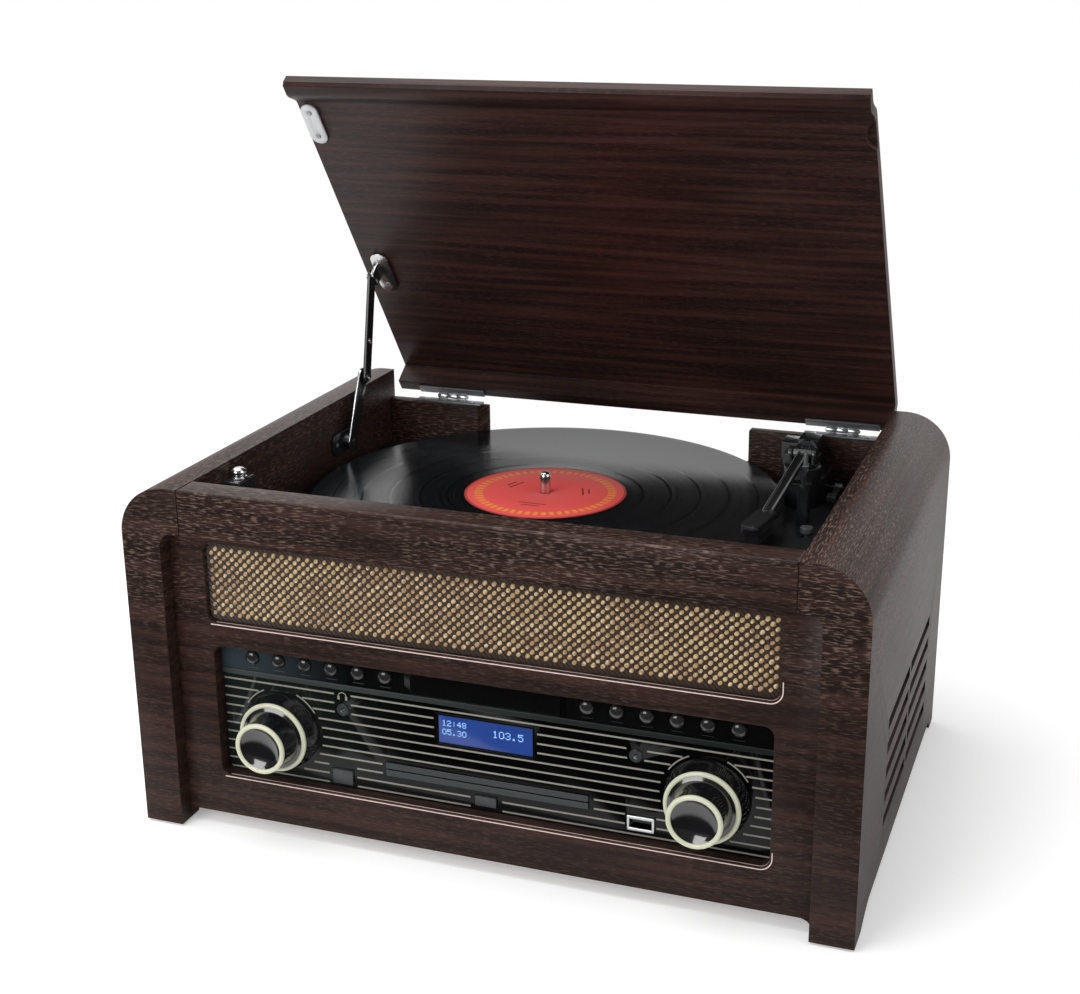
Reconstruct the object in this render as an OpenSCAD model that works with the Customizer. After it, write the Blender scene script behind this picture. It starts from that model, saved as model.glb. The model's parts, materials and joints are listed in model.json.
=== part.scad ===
// Stereo music centre: a wooden cabinet with a record deck under a lifting lid,
// a cloth grille, and a black fascia with a radio, a disc slot and two large knobs.
// Millimetres. X runs to the right, Y to the back, Z up from the floor.
// Inside the modules Y = 0 is the front face of the arched cabinet;
// placed() moves everything so that the origin is the middle of the footprint.

/* [Cabinet] */
// Width over the two sides
cab_w = 440; // [430:1:460]
// Depth from the arch's front face to the back panel's outer face
cab_d = 300; // [296:1:310]
// Height of the cabinet without its lid
cab_h = 220; // [218:1:224]
// Radius of the two rounded top corners
corner_r = 30; // [20:1:34]
// Thickness of a side wall
side_t = 15; // [12:1:18]
// Width of a front post, seen from the front
post_w = 25; // [20:1:30]
// How far the front panel is set back behind the arch
recess = 10; // [6:1:12]
// Height of the arch's band above the front panel
band_h = 28; // [24:1:30]
// Half the width of the opening in the top
well_half = 181.5; // [180:0.5:184]
// Width of the strip between the arch's front face and the top opening
front_strip = 19.3; // [18:0.1:21]

/* [Front openings] */
// Width of the grille opening
grille_w = 345; // [330:1:350]
// Height of the grille opening
grille_h = 50; // [44:1:52]
// Height of the grille opening's lower edge above the floor
grille_z = 136; // [134:1:138]
// Width of the fascia opening
fascia_w = 340; // [330:1:346]
// Height of the fascia opening
fascia_h = 85; // [80:1:87]
// Height of the fascia opening's lower edge above the floor
fascia_z = 36; // [32:1:38]
// Corner radius of both openings
opening_r = 6; // [3:1:8]

/* [Controls] */
// Distance of each large knob from the middle
knob_x = 132; // [128:1:136]
// Height of the knobs above the floor
knob_z = 67.5; // [64:0.5:72]
// Radius of a knob's rear ring
knob_r = 22; // [18:0.5:23]
// Radius of a knob's front ring
knob_front_r = 16.3; // [14:0.1:17]
// Distance of the innermost domed button from the middle
button_x = 62; // [60:1:64]
// Distance between domed buttons
button_pitch = 17.4; // [16:0.1:17.6]
// Height of the domed buttons above the floor
button_z = 112.6; // [110:0.1:114]
// Radius of a domed button
button_r = 4.3; // [3.5:0.1:5]

/* [Record deck] */
// Sideways place of the turntable's centre
disc_x = -18; // [-20:1:-12]
// Place of the turntable's centre behind the arch's front face
disc_y = 173; // [172:0.5:176]
// Radius of the record
record_r = 151; // [148:0.5:152]
// Height of the deck's upper surface
deck_z = 167; // [165:0.5:168]
// Radius of the platter
platter_r = 98; // [92:1:110]
// Height of the record's underside
record_z = 180.2; // [180:0.1:182]

/* [Tonearm] */
// Sideways place of the tonearm's upright pivot
arm_x = 133; // [132:1:136]
// Place of the upright pivot behind the arch's front face
arm_y = 246; // [246:1:250]
// Height of the arm tube's axis
arm_z = 201; // [200:0.5:203]
// Distance from the upright pivot to the stylus
arm_reach = 137; // [132:1:140]

/* [Lid] */
// Angle at which the lid stands open
lid_open = 54.2; // [0:0.1:56]
// Half the width of the lid
lid_half = 179; // [176:0.5:179]
// How far the lid sits to the right of the middle
lid_x = 2; // [0:0.5:2]
// Thickness of the lid's board
lid_t = 8; // [6:0.5:10]
// Gap between the lid's front edge and the front strip
lid_gap = 2; // [1:0.5:3]
// How far the lid's front lip hangs below its underside
lip_drop = 7.5; // [5:0.5:8]
// Depth of the board under the lid's rear edge
skirt_h = 15.5; // [12:0.5:15.5]
// Thickness of that board
skirt_t = 9; // [8:0.1:14]

/* [Hidden] */
$fn = 96;

// Shared places
front_reach = 12;                          // the knobs stand this far in front of the arch
back_reach = disc_y + record_r;            // the record's rear edge
y_mid = (back_reach - front_reach) / 2;
pad_h = 1.5;                               // rubber pads under the four corners
plinth = 9;                                // clearance under the panels between the corners
floor_z = 15;                              // upper face of the bottom panel
fit = 0.1;                                 // play between boards that butt together
panel_back = front_strip;                  // rear face of the front panel
cheek_z = 158;                             // underside of the thick upper part of a side
inner_x = cab_w / 2 - side_t;              // inner face of a side wall
steps = 12;                                // straight pieces of a free curve

// Back panel
back_t = 8;
back_y = cab_d - back_t;
block_z = 200;                             // top of the two blocks that carry the hinges
cut_left = -106;
cut_right = 86;
cut_z = 176;

// Side vents
vent_z = [36.2, 51.5, 66.8, 82.1, 97.4];
vent_h = 7;
vent_len = 78.7;
vent_y = [82.1, 165.9];

// Fascia
fascia_y = panel_back;
fascia_t = 3;
lcd_w = 58.4;
lcd_h = 17.6;
lcd_z = 84.4;
slot_w = 126;
slot_h = 8.5;
slot_z = 53.2;
eject_z = 42.5;
standby_x = -92;
standby_z = 42.8;
usb_x = 94;
usb_z = 45;
phones_x = -90.5;
aux_x = 90.5;
jack_z = 86.8;
jack_bore = 1.8;
shaft_r = 3;
shaft_bore = 3.05;

// Lid hinge
hinge_y = 302.5;
hinge_z = 202.5;
hinge_x = [-136, 148];
leaf_len = 50;
leaf_t = 1.2;
knuckle_r = 2.1;
knuckle_len = 22.5;
pin_r = 1.1;
lid_under = 219.5;                         // underside of the closed lid's board
lid_front = front_strip + lid_gap;
lid_back = cab_d + 0.5;

// Lid stay: two links that fold behind the left wall, lid pivot given with the lid closed
stay_x = -171;
stay_lid_pivot = [192, 214];
stay_wall_pivot = [214, 190];
stay_arm_len = 69;
stay_channel_len = 45.6;

// Turntable
spindle_r = 3.55;
shaft_low_r = 2.5;
spindle_bore = 2.55;
record_hole_r = 3.65;
spindle_top = 196;
drive_r = 66;
motor_dist = 84;
motor_angle = 135;
pulley_r = 6;
platter_z = 172;

// ---------- helpers ----------

module placed() { translate([0, -y_mid, 0]) children(); }

// Turn a closed lid piece to its open place
module opened() {
    translate([0, hinge_y, hinge_z]) rotate([-lid_open, 0, 0])
        translate([0, -hinge_y, -hinge_z]) children();
}

// Rectangle with rounded corners, centred
module rounded_rect(w, h, r) {
    square([w - 2 * r, h], center = true);
    square([w, h - 2 * r], center = true);
    for (x = [-1, 1], y = [-1, 1])
        translate([x * (w / 2 - r), y * (h / 2 - r)]) circle(r);
}

// Stretch an outline drawn in X and Z along Y, from y0 to y1
module along_y(y0, y1) {
    translate([0, y1, 0]) rotate([90, 0, 0]) linear_extrude(y1 - y0) children();
}

// Stretch an outline drawn in Y and Z along X, from x0 to x1
module along_x(x0, x1) {
    translate([x0, 0, 0]) rotate([90, 0, 90]) linear_extrude(x1 - x0) children();
}

// Cylinder along Y, from y0 to y1
module rod_y(r, y0, y1) {
    translate([0, y1, 0]) rotate([90, 0, 0]) cylinder(r = r, h = y1 - y0);
}

// Cylinder along X, from x0 to x1
module rod_x(r, x0, x1) {
    translate([x0, 0, 0]) rotate([0, 90, 0]) cylinder(r = r, h = x1 - x0);
}

// Box given by its low and high corners
module block(low, high) { translate(low) cube(high - low); }

// Round or flat-bottomed bar with rounded ends between two points, in 2D
module link_outline(a, b, w) {
    len = norm(b - a);
    translate(a) rotate(atan2(b[1] - a[1], b[0] - a[0])) {
        circle(w / 2);
        translate([0, -w / 2]) square([len, w]);
        translate([len, 0]) circle(w / 2);
    }
}

// ---------- cabinet ----------

// Quarter disc that rounds the arch's upper right corner
module arch_corner() {
    corner = [cab_w / 2 - corner_r, cab_h - corner_r];
    intersection() {
        translate(corner) circle(corner_r);
        translate(corner) square(corner_r);
    }
}

// Outline of the right side behind the front post: wall, thick cheek, rounded corner
module side_outline() {
    translate([inner_x, plinth]) square([side_t, cab_h - corner_r - plinth]);
    translate([well_half, cheek_z]) square([cab_w / 2 - well_half, cab_h - corner_r - cheek_z]);
    translate([well_half, cheek_z]) square([cab_w / 2 - corner_r - well_half, cab_h - cheek_z]);
    arch_corner();
}

post_x = cab_w / 2 - post_w;
band_z = cab_h - band_h;

// Outline of the front post with the end of the arch's band
module post_outline() {
    translate([post_x, pad_h]) square([post_w, cab_h - corner_r - pad_h]);
    translate([well_half, band_z]) square([cab_w / 2 - corner_r - well_half, band_h]);
    difference() {
        arch_corner();
        square([post_x, band_z]);
    }
}

// Small hollow-sided bracket between the foot of a post and the front panel's lower edge
module foot_bracket() {
    r = plinth - pad_h;
    difference() {
        translate([post_x - r, pad_h]) square([r + 0.5, r - fit]);
        translate([post_x - r, pad_h]) circle(r);
    }
}

// Curve under a side, from the bottom of a foot at y0 up to the side's lower edge at y1
module side_bracket(y0, y1) {
    rise = [for (i = [0 : steps])
        [y0 + (y1 - y0) * i / steps, pad_h + (plinth - pad_h) * sin(90 * i / steps)]];
    along_x(inner_x, cab_w / 2)
        polygon(concat(rise, [[y1, plinth + 0.5], [y0, plinth + 0.5]]));
}

// Rounded inner corner between the post and the band
module post_fillet() {
    r = 8;
    difference() {
        translate([post_x - r, band_z - r]) square(r + 0.5);
        translate([post_x - r, band_z - r]) circle(r);
    }
}

module side_right() {
    rear_foot = 15;
    color("#3a2722") placed() difference() {
        union() {
            along_y(front_strip, cab_d) side_outline();
            along_y(0, front_strip) post_outline();
            along_y(0, recess) post_fillet();
            along_y(recess, front_strip) foot_bracket();
            block([inner_x, cab_d - rear_foot, pad_h], [cab_w / 2, cab_d, plinth + 1]);
            side_bracket(front_strip - 0.5, front_strip + 28);
            side_bracket(cab_d - rear_foot + 0.5, cab_d - rear_foot - 9);
        }
        for (y = vent_y, z = vent_z)
            block([inner_x - 1, y, z - vent_h / 2], [cab_w / 2 + 1, y + vent_len, z + vent_h / 2]);
    }
}

module side_left() { mirror([1, 0, 0]) side_right(); }

module top_front_rail() {
    color("#3a2722") placed()
        block([-well_half, 0, band_z], [well_half, front_strip, cab_h]);
}

module front_panel() {
    half = post_x - fit;
    top = band_z - fit;
    color("#32211d") placed() along_y(recess, panel_back) difference() {
        translate([-half, plinth]) square([2 * half, top - plinth]);
        translate([0, grille_z + grille_h / 2]) rounded_rect(grille_w, grille_h, opening_r);
        translate([0, fascia_z + fascia_h / 2]) rounded_rect(fascia_w, fascia_h, opening_r);
    }
}

module back_panel() {
    low_half = inner_x - fit;
    high_half = well_half - fit;
    color("#2e1f1b") placed() difference() {
        along_y(back_y, cab_d) difference() {
            union() {
                translate([-low_half, plinth]) square([2 * low_half, cheek_z - fit - plinth]);
                translate([-high_half, plinth]) square([2 * high_half, block_z - plinth]);
            }
            translate([cut_left, cut_z]) square([cut_right - cut_left, cab_h - cut_z]);
            translate([0, 72]) square([132, 56], center = true);
        }
        // The left block's corner is eased round the record, so that it lifts straight out
        translate([disc_x, disc_y, cut_z]) cylinder(r = record_r + 1, h = cab_h - cut_z);
    }
}

module bottom_panel() {
    color("#8a6f55") placed()
        block([-(inner_x - fit), panel_back + fit, plinth], [inner_x - fit, back_y - fit, floor_z]);
}

module rubber_feet() {
    foot_w = 12;
    foot_d = 14;
    x = cab_w / 2 - 8.5;
    color("#161616") placed() for (sx = [-1, 1], y = [10, cab_d - 8])
        translate([sx * x, y, 0]) translate([-foot_w / 2, -foot_d / 2, 0])
            cube([foot_w, foot_d, pad_h]);
}

// Rear plate with four line sockets, an aerial socket and a mains inlet
module socket_panel() {
    plate_w = 148;
    plate_h = 72;
    color("#1c1c1e") placed() {
        translate([0, 0, 72]) difference() {
            union() {
                along_y(cab_d, cab_d + 2) rounded_rect(plate_w, plate_h, 4);
                along_y(back_y - 4, cab_d) square([130, 54], center = true);
            }
            // Mains inlet, a figure-of-eight hole
            translate([48, 0, -8]) along_y(cab_d - 9, cab_d + 3) {
                circle(4.2);
                translate([8.4, 0]) circle(4.2);
                translate([4.2, 0]) square([8.4, 4.6], center = true);
            }
        }
        for (x = [-46, -30], z = [64, 80]) translate([x, 0, z]) difference() {
            rod_y(4.1, cab_d + 2, cab_d + 9);
            rod_y(1.7, cab_d + 1, cab_d + 10);
        }
        translate([-2, 0, 72]) rod_y(4.8, cab_d + 2, cab_d + 12);
    }
}

// ---------- front ----------

module grille_cloth() {
    gap = 0.3;
    color("#b8965a") placed() along_y(14, panel_back - fit)
        translate([0, grille_z + grille_h / 2])
            rounded_rect(grille_w - gap, grille_h - gap, opening_r);
}

// x places of the six buttons of one group, counted outwards
function button_place(i) = button_x + button_pitch * i;

module fascia() {
    lap = 5;
    color("#0d0d0e") placed() {
        difference() {
            along_y(fascia_y + 0.02, fascia_y + fascia_t) difference() {
                translate([0, fascia_z + fascia_h / 2])
                    square([fascia_w + 2 * lap, fascia_h + 2 * lap], center = true);
                for (s = [-1, 1], i = [0 : 5])
                    translate([s * button_place(i), button_z]) circle(button_r + 0.4);
                for (s = [-1, 1]) translate([s * knob_x, knob_z]) circle(shaft_r + 2);
                translate([0, lcd_z]) square([lcd_w, lcd_h], center = true);
                translate([0, eject_z]) square([13.8, 6.8], center = true);
                translate([standby_x, standby_z]) square([13.8, 9.8], center = true);
                translate([usb_x, usb_z]) square([15.4, 8.4], center = true);
                for (x = [phones_x, aux_x]) translate([x, jack_z]) circle(3.6);
                translate([0, slot_z]) square([slot_w - 4, 5], center = true);
            }
        }
        // Raised lip round the disc slot
        along_y(fascia_y - 1.2, fascia_y + 1) translate([0, slot_z]) difference() {
            square([slot_w, slot_h], center = true);
            square([slot_w - 4, 5], center = true);
        }
    }
}

module lcd_window() {
    color("#22386e") placed() along_y(fascia_y + 0.4, fascia_y + fascia_t)
        translate([0, lcd_z]) square([lcd_w - 0.3, lcd_h - 0.3], center = true);
}

// Headphone jack, line-in jack and the USB shell
module panel_sockets() {
    color("#9a9a9c") placed() {
        for (x = [phones_x, aux_x]) translate([x, 0, jack_z]) difference() {
            rod_y(3.4, fascia_y - 0.3, fascia_y + 14);
            rod_y(jack_bore, fascia_y - 1, fascia_y + 12);
        }
        translate([usb_x, 0, usb_z]) difference() {
            along_y(fascia_y - 0.3, fascia_y + 16) square([15, 8], center = true);
            along_y(fascia_y - 1, fascia_y + 14.8) square([13.2, 6], center = true);
        }
    }
}

// Two flat oval loudspeakers behind the lower half of the grille
module speakers() {
    speaker_z = 145;
    color("#4a4a4c") placed() for (x = [-120, 120]) translate([x, 0, speaker_z]) {
        difference() {
            along_y(panel_back + 0.2, panel_back + 12) rounded_rect(92, 34, 16.9);
            along_y(panel_back, panel_back + 8) rounded_rect(84, 26, 12.9);
        }
        rod_y(15, panel_back + 12, panel_back + 26);
    }
}

// ---------- inside the cabinet ----------

// Slot loader: a flat metal box with a slot in its front
module cd_mechanism() {
    loader_w = 146;
    y0 = fascia_y + fascia_t + 3.2;
    y1 = 172;
    half_h = 15;
    color("#a8aaac") placed() {
        difference() {
            block([-loader_w / 2, y0, slot_z - half_h], [loader_w / 2, y1, slot_z + half_h]);
            block([-slot_w / 2, y0 - 1, slot_z - 3], [slot_w / 2, y1 - 8, slot_z + 3]);
        }
        // Four legs on the bottom panel
        for (x = [-1, 1], y = [y0 + 8, y1 - 8]) translate([x * (loader_w / 2 - 6), y, floor_z])
            cylinder(r = 3, h = slot_z - half_h - floor_z + 0.5);
    }
}

// Main board on the floor, front board behind the fascia with the two rotary encoders
module circuit_boards() {
    board_y = fascia_y + 9;
    board_t = 1.6;
    board_z = floor_z + 5;
    color("#2e6b3c") placed() {
        block([80, 60, board_z], [190, 240, board_z + board_t]);
        for (x = [86, 184], y = [66, 234]) translate([x, y, floor_z])
            cylinder(r = 3, h = board_z - floor_z + 0.5);
        for (x = [100, 140, 170], y = [90, 150, 200])
            block([x - 7, y - 9, board_z], [x + 7, y + 9, board_z + 14]);
        block([-168, board_y, 98], [168, board_y + board_t, 122]);
        for (x = [-160, 160]) translate([x, 0, 110])
            rod_y(3, fascia_y + fascia_t, board_y + 0.5);
        for (s = [-1, 1]) translate([s * knob_x, 0, knob_z]) difference() {
            union() {
                rod_y(5, fascia_y + fascia_t + 0.2, board_y + 2);
                along_y(board_y, board_y + 12) square(20, center = true);
                along_y(board_y, board_y + board_t) translate([-12, -14]) square([24, 48]);
            }
            rod_y(shaft_bore, fascia_y, board_y + 9);
        }
    }
}

module transformer() {
    color("#5a5048") placed() translate([-150, 235, floor_z]) {
        block([-34, -14, 0], [34, 14, 3]);
        block([-28, -24, 3], [28, 24, 48]);
        block([-20, -32, 12], [20, 32, 40]);
    }
}

// ---------- record deck ----------

motor_x = disc_x + motor_dist * cos(motor_angle);
motor_y = disc_y + motor_dist * sin(motor_angle);
deck_t = 3;

module deck_plate() {
    color("#17181a") placed() difference() {
        union() {
            block([-(well_half - fit), panel_back + fit, deck_z - deck_t],
                [well_half - fit, back_y - fit, deck_z]);
            translate([disc_x, disc_y, deck_z - 18]) cylinder(r = 9, h = 19);
        }
        translate([disc_x, disc_y, 0]) cylinder(r = spindle_bore, h = cab_h);
        translate([motor_x, motor_y, 0]) cylinder(r = pulley_r + 2, h = cab_h);
        block([lever_x - 2, speed_y - 8, 0], [lever_x + 2, speed_y + 8, cab_h]);
        block([stop_x - 2, stop_y - 7, 0], [stop_x + 2, stop_y + 7, cab_h]);
    }
}

module motor() {
    color("#b4b6b8") placed() translate([motor_x, motor_y, 0]) difference() {
        union() {
            translate([0, 0, deck_z - deck_t - 26]) cylinder(r = 14, h = 25.8);
            translate([0, 0, deck_z - deck_t - 1.6]) cylinder(r = 20, h = 1.5);
        }
        translate([0, 0, deck_z - 20]) cylinder(r = 1.06, h = 40);
    }
}

module motor_pulley() {
    color("#d2d2d4") placed() translate([motor_x, motor_y, 0]) {
        translate([0, 0, deck_z + 0.6]) cylinder(r = pulley_r, h = 4);
        translate([0, 0, deck_z - 18]) cylinder(r = 1, h = 19);
    }
}

// Outline of a band round the drive ring and the pulley, grown by g
module belt_outline(g) {
    hull() {
        circle(drive_r + g);
        translate([motor_dist, 0]) circle(pulley_r + g);
    }
}

module drive_belt() {
    color("#101010") placed() translate([disc_x, disc_y, deck_z + 1.1]) rotate(motor_angle)
        linear_extrude(2.8) difference() {
            belt_outline(1.2);
            belt_outline(0.3);
        }
}

module platter() {
    color("#26282a") placed() translate([disc_x, disc_y, 0]) difference() {
        union() {
            translate([0, 0, platter_z]) cylinder(r = platter_r, h = 5);
            translate([0, 0, deck_z + 1.3]) difference() {
                cylinder(r = platter_r, h = 4);
                translate([0, 0, -1]) cylinder(r = platter_r - 3, h = 6);
            }
            translate([0, 0, deck_z + 0.8]) difference() {
                cylinder(r = drive_r, h = 4.5);
                translate([0, 0, -1]) cylinder(r = drive_r - 3, h = 7);
            }
            translate([0, 0, deck_z + 1.3]) cylinder(r = 12, h = 4);
        }
        cylinder(r = spindle_bore, h = cab_h);
    }
}

module platter_mat() {
    mat_z = platter_z + 5;
    color("#1a1a1a") placed() translate([disc_x, disc_y, mat_z]) difference() {
        cylinder(r = platter_r - 2, h = record_z - mat_z);
        translate([0, 0, -1]) cylinder(r = spindle_bore, h = 9);
    }
}

module record() {
    bead = 0.9;
    color("#0c0d0f") placed() translate([disc_x, disc_y, record_z]) difference() {
        union() {
            cylinder(r = record_r - bead, h = 2 * bead);
            translate([0, 0, bead]) rotate_extrude() translate([record_r - bead, 0]) circle(bead);
        }
        translate([0, 0, -1]) cylinder(r = record_hole_r, h = 4);
    }
}

module record_label() {
    label_r = 52;
    color("#e2502f") placed() translate([disc_x, disc_y, record_z + 1.8]) difference() {
        cylinder(r = label_r, h = 0.3);
        translate([0, 0, -1]) cylinder(r = record_hole_r, h = 4);
    }
}

// Shaft that turns in the deck's bush, with a thicker pin through the record
module spindle() {
    foot_z = deck_z - 17;
    pin_z = record_z + 2.1;
    color("#c8cacc") placed() translate([disc_x, disc_y, 0]) {
        translate([0, 0, foot_z]) cylinder(r = shaft_low_r, h = pin_z - foot_z + 1);
        translate([0, 0, pin_z]) cylinder(r = spindle_r, h = spindle_top - 3 - pin_z);
        translate([0, 0, spindle_top - 3]) cylinder(r1 = spindle_r, r2 = 1.6, h = 3);
    }
}

// ---------- tonearm and deck controls ----------

lever_x = 148;
speed_y = 190;
stop_x = 141;
stop_y = 219;
cue_x = 154;
cue_y = 264;
cue_z = deck_z + 8;
cue_pin_r = 1.2;
rest_x = 134.5;                            // under the resting arm
rest_y = 204;
clip_x = 8.5;                              // beside the arm's axis
clip_z = arm_z + 4.6;
clip_pin_r = 0.8;
gimbal_z = 194;
gimbal_r = 3;                              // upright pin of the gimbal
cross_pin_r = 1.5;                         // level pin of the arm
ear_gap = 6.5;
ear_t = 2.4;
arm_angle = 2;                             // the resting arm points a little outwards
head_angle = 9;                            // and its head turns back to the record
head_len = 31;
head_w = 11.5;
stylus_z = 185.4;

module tonearm_base() {
    tower_r = 12;
    base_h = 18;
    base_d = 36;
    color("#141517") placed() translate([arm_x, arm_y, 0]) difference() {
        union() {
            translate([0, base_d / 2, deck_z]) linear_extrude(base_h) rounded_rect(28, base_d, 6);
            translate([0, 0, deck_z]) cylinder(r = tower_r, h = gimbal_z - 0.4 - deck_z);
            // Housing of the arm's automatic gear: a low step, a black box and a higher one
            block([-17, 17, deck_z], [7, 27, deck_z + 28]);
            block([-20, 26, deck_z], [-8, 43, deck_z + 33]);
            block([-9, 26, deck_z], [4.5, 43, deck_z + 36]);
            translate([0, cue_y - arm_y, cue_z]) rod_x(cue_pin_r, 10, cue_x - arm_x + 3.4);
        }
        translate([0, 0, deck_z + 4]) cylinder(r = gimbal_r + 0.05, h = 60);
    }
}

// Fork that turns on the base and carries the arm's cross pin
module tonearm_gimbal() {
    ear_r = 5;
    color("#202123") placed() translate([arm_x, arm_y, 0]) {
        translate([0, 0, deck_z + 5]) cylinder(r = gimbal_r, h = gimbal_z - deck_z - 4);
        translate([0, 0, gimbal_z]) linear_extrude(1.6) rounded_rect(2 * (ear_gap + ear_t), 12, 3);
        for (s = [-1, 1]) translate([s * (ear_gap + ear_t / 2), 0, 0]) difference() {
            union() {
                block([-ear_t / 2, -ear_r, gimbal_z + 1], [ear_t / 2, ear_r, arm_z]);
                translate([0, 0, arm_z]) rod_x(ear_r, -ear_t / 2, ear_t / 2);
            }
            translate([0, 0, arm_z]) rod_x(cross_pin_r + 0.05, -ear_t, ear_t);
        }
    }
}

// Moves a piece drawn along the arm, with the upright pivot at the origin, to its place
module on_arm() { translate([arm_x, arm_y, arm_z]) rotate(arm_angle) children(); }

// Moves a piece drawn forwards from the arm tube's end into the turned head
module on_head() { on_arm() translate([0, 16 - arm_reach, 0]) rotate(-head_angle) children(); }

// Moulded channel-shaped arm with its cross pin, rear weight, head and finger lift
module tonearm() {
    arm_w = 6.6;
    arm_h = 5.4;
    groove = 1.2;
    color("#1b1c1e") placed() {
        on_arm() along_y(15 - arm_reach, 10) difference() {
            rounded_rect(arm_w, arm_h, 1.6);
            translate([0, arm_h / 2]) square([arm_w - 3.2, 2 * groove], center = true);
        }
        on_arm() rod_y(6.5, 8, 12.5);
        translate([arm_x, arm_y, arm_z]) rod_x(cross_pin_r, -8.6, 8.6);
        translate([arm_x, arm_y, arm_z]) rod_x(4, -6, 6);
        on_head() translate([0, -head_len / 2, -4]) linear_extrude(5.4)
            rounded_rect(head_w, head_len, 3);
        on_head() translate([1, -head_len - 1, -0.5]) linear_extrude(1.2) rounded_rect(9, 5, 2);
    }
}

module cartridge() {
    body_h = 7;
    body_w = 9;
    below = -4;                            // underside of the head, from the arm's axis
    tip = stylus_z - arm_z;
    color("#303134") placed() on_head() {
        block([-body_w / 2, -head_len + 4, below - body_h], [body_w / 2, -8, below]);
        translate([0, -16, tip]) cylinder(r1 = 0.7, r2 = 1.6, h = below - 6 - tip);
    }
}

// Post with a ledge under the arm, open towards the record, and the clip's two ears
module arm_rest() {
    ledge_z = arm_z - 5.5;
    wide = 4;
    color("#141517") placed() translate([rest_x, rest_y, 0]) {
        translate([clip_x, 0, deck_z]) linear_extrude(ledge_z - 0.5 - deck_z)
            rounded_rect(2 * wide, 2 * wide, 2);
        block([-wide, -wide, ledge_z - 2], [clip_x + 1.5, wide, ledge_z]);
        block([clip_x - 1.5, -wide, ledge_z - 1.5], [clip_x + 1.5, wide, clip_z - 2.4]);
        for (s = [-1, 1])
            block([clip_x - 1.5, s * 3.6 - 0.4, clip_z - 3], [clip_x + 1.5, s * 3.6 + 0.4, clip_z + 1.5]);
        translate([clip_x, 0, clip_z]) rod_y(clip_pin_r, -3.6, 3.6);
    }
}

// Small tongue on the rest, standing open; it folds over the arm
module arm_clip() {
    half_w = 3;
    tongue_t = 1.8;
    tongue = 9;
    color("#202123") placed() translate([rest_x + clip_x, rest_y, clip_z]) difference() {
        union() {
            rod_y(tongue_t, -half_w, half_w);
            block([-tongue_t / 2, -half_w, 0], [tongue_t / 2, half_w, tongue]);
            translate([0, 0, tongue]) rod_y(tongue_t / 2, -half_w, half_w);
        }
        rod_y(clip_pin_r + 0.05, -half_w - 1, half_w + 1);
    }
}

// Lever that raises the arm, on a pin in the base
module cue_lever() {
    color("#1d1e20") placed() translate([cue_x, cue_y, cue_z]) difference() {
        union() {
            rod_x(3, -2.5, 2.5);
            block([-2, -24, -1.2], [2, 0, 1.2]);
            block([-3, -28, -1.6], [3, -20, 2.2]);
        }
        rod_x(cue_pin_r + 0.05, -4, 4);
    }
}

// Sliding selectors whose stems pass through slots in the deck
module slider(x, y, cap_r) {
    translate([x, y, 0]) {
        block([-1.6, -2, deck_z - 6], [1.6, 2, deck_z + 2]);
        translate([0, 0, deck_z + 0.5]) cylinder(r = cap_r, h = 4);
    }
}

module speed_lever() { color("#2a2b2e") placed() slider(lever_x, speed_y, 4); }

module autostop_switch() { color("#2a2b2e") placed() slider(stop_x, stop_y, 3.4); }

// Catch on the left wall: a dark body with a bright sprung stud
module lid_catch() {
    color("#c0c2c4") placed() translate([-(well_half - fit), 61, 0]) {
        block([0, -10, 197], [12, 10, 210]);
        translate([6.3, 0, 210]) cylinder(r = 6, h = 7);
    }
}

// ---------- lid ----------

// Points of an S-shaped step from one level to another
function s_step(y0, z0, y1, z1) =
    [for (i = [0 : steps]) [y0 + (y1 - y0) * i / steps,
        z0 + (z1 - z0) * (1 - cos(180 * i / steps)) / 2]];

// Section of the lid: flush front lip, raised board, board hanging at the rear
module lid_section() {
    top = lid_under + lid_t;
    lip_z = lid_under - lip_drop;
    rear_r = 4;
    polygon(concat(
        [[lid_back - skirt_t, lid_under], [lid_back - skirt_t, lid_under - skirt_h],
            [lid_back, lid_under - skirt_h]],
        [for (i = [0 : 6]) [lid_back - rear_r + rear_r * cos(15 * i),
            top - rear_r + rear_r * sin(15 * i)]],
        [for (p = s_step(lid_front + 24, top, lid_front + 8, lid_under)) p],
        [[lid_front, lid_under]],
        [for (p = s_step(lid_front, lip_z + 2, lid_front + 2, lip_z)) p],
        [for (p = s_step(lid_front + 8, lip_z, lid_front + 22, lid_under)) p]
    ));
}

module lid() {
    notch_y = 56;
    notch_r = 13.5;
    color("#2b1b18") placed() opened() difference() {
        along_x(lid_x - lid_half, lid_x + lid_half) lid_section();
        translate([lid_x + lid_half + 8, notch_y, lid_under - 1]) cylinder(r = notch_r, h = 4);
    }
}

// Oval plate that the catch's stud snaps to, with two countersunk screws
module strike_plate() {
    plate_t = 1.4;
    color("#d8dadc") placed() opened()
        translate([-170.5, 59.2, lid_under - plate_t - 0.02]) difference() {
            linear_extrude(plate_t) rounded_rect(11.5, 31.2, 5.7);
            for (y = [-9.5, 9.5]) translate([0, y, -1]) cylinder(r = 1.6, h = 1.5);
        }
}

// One third of a knuckle: i = -1, 0 or 1 along the pin
module knuckle(x, i) {
    third = knuckle_len / 3;
    translate([x + i * third, hinge_y, hinge_z])
        rod_x(knuckle_r, -third / 2 + 0.1, third / 2 - 0.1);
}

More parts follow.
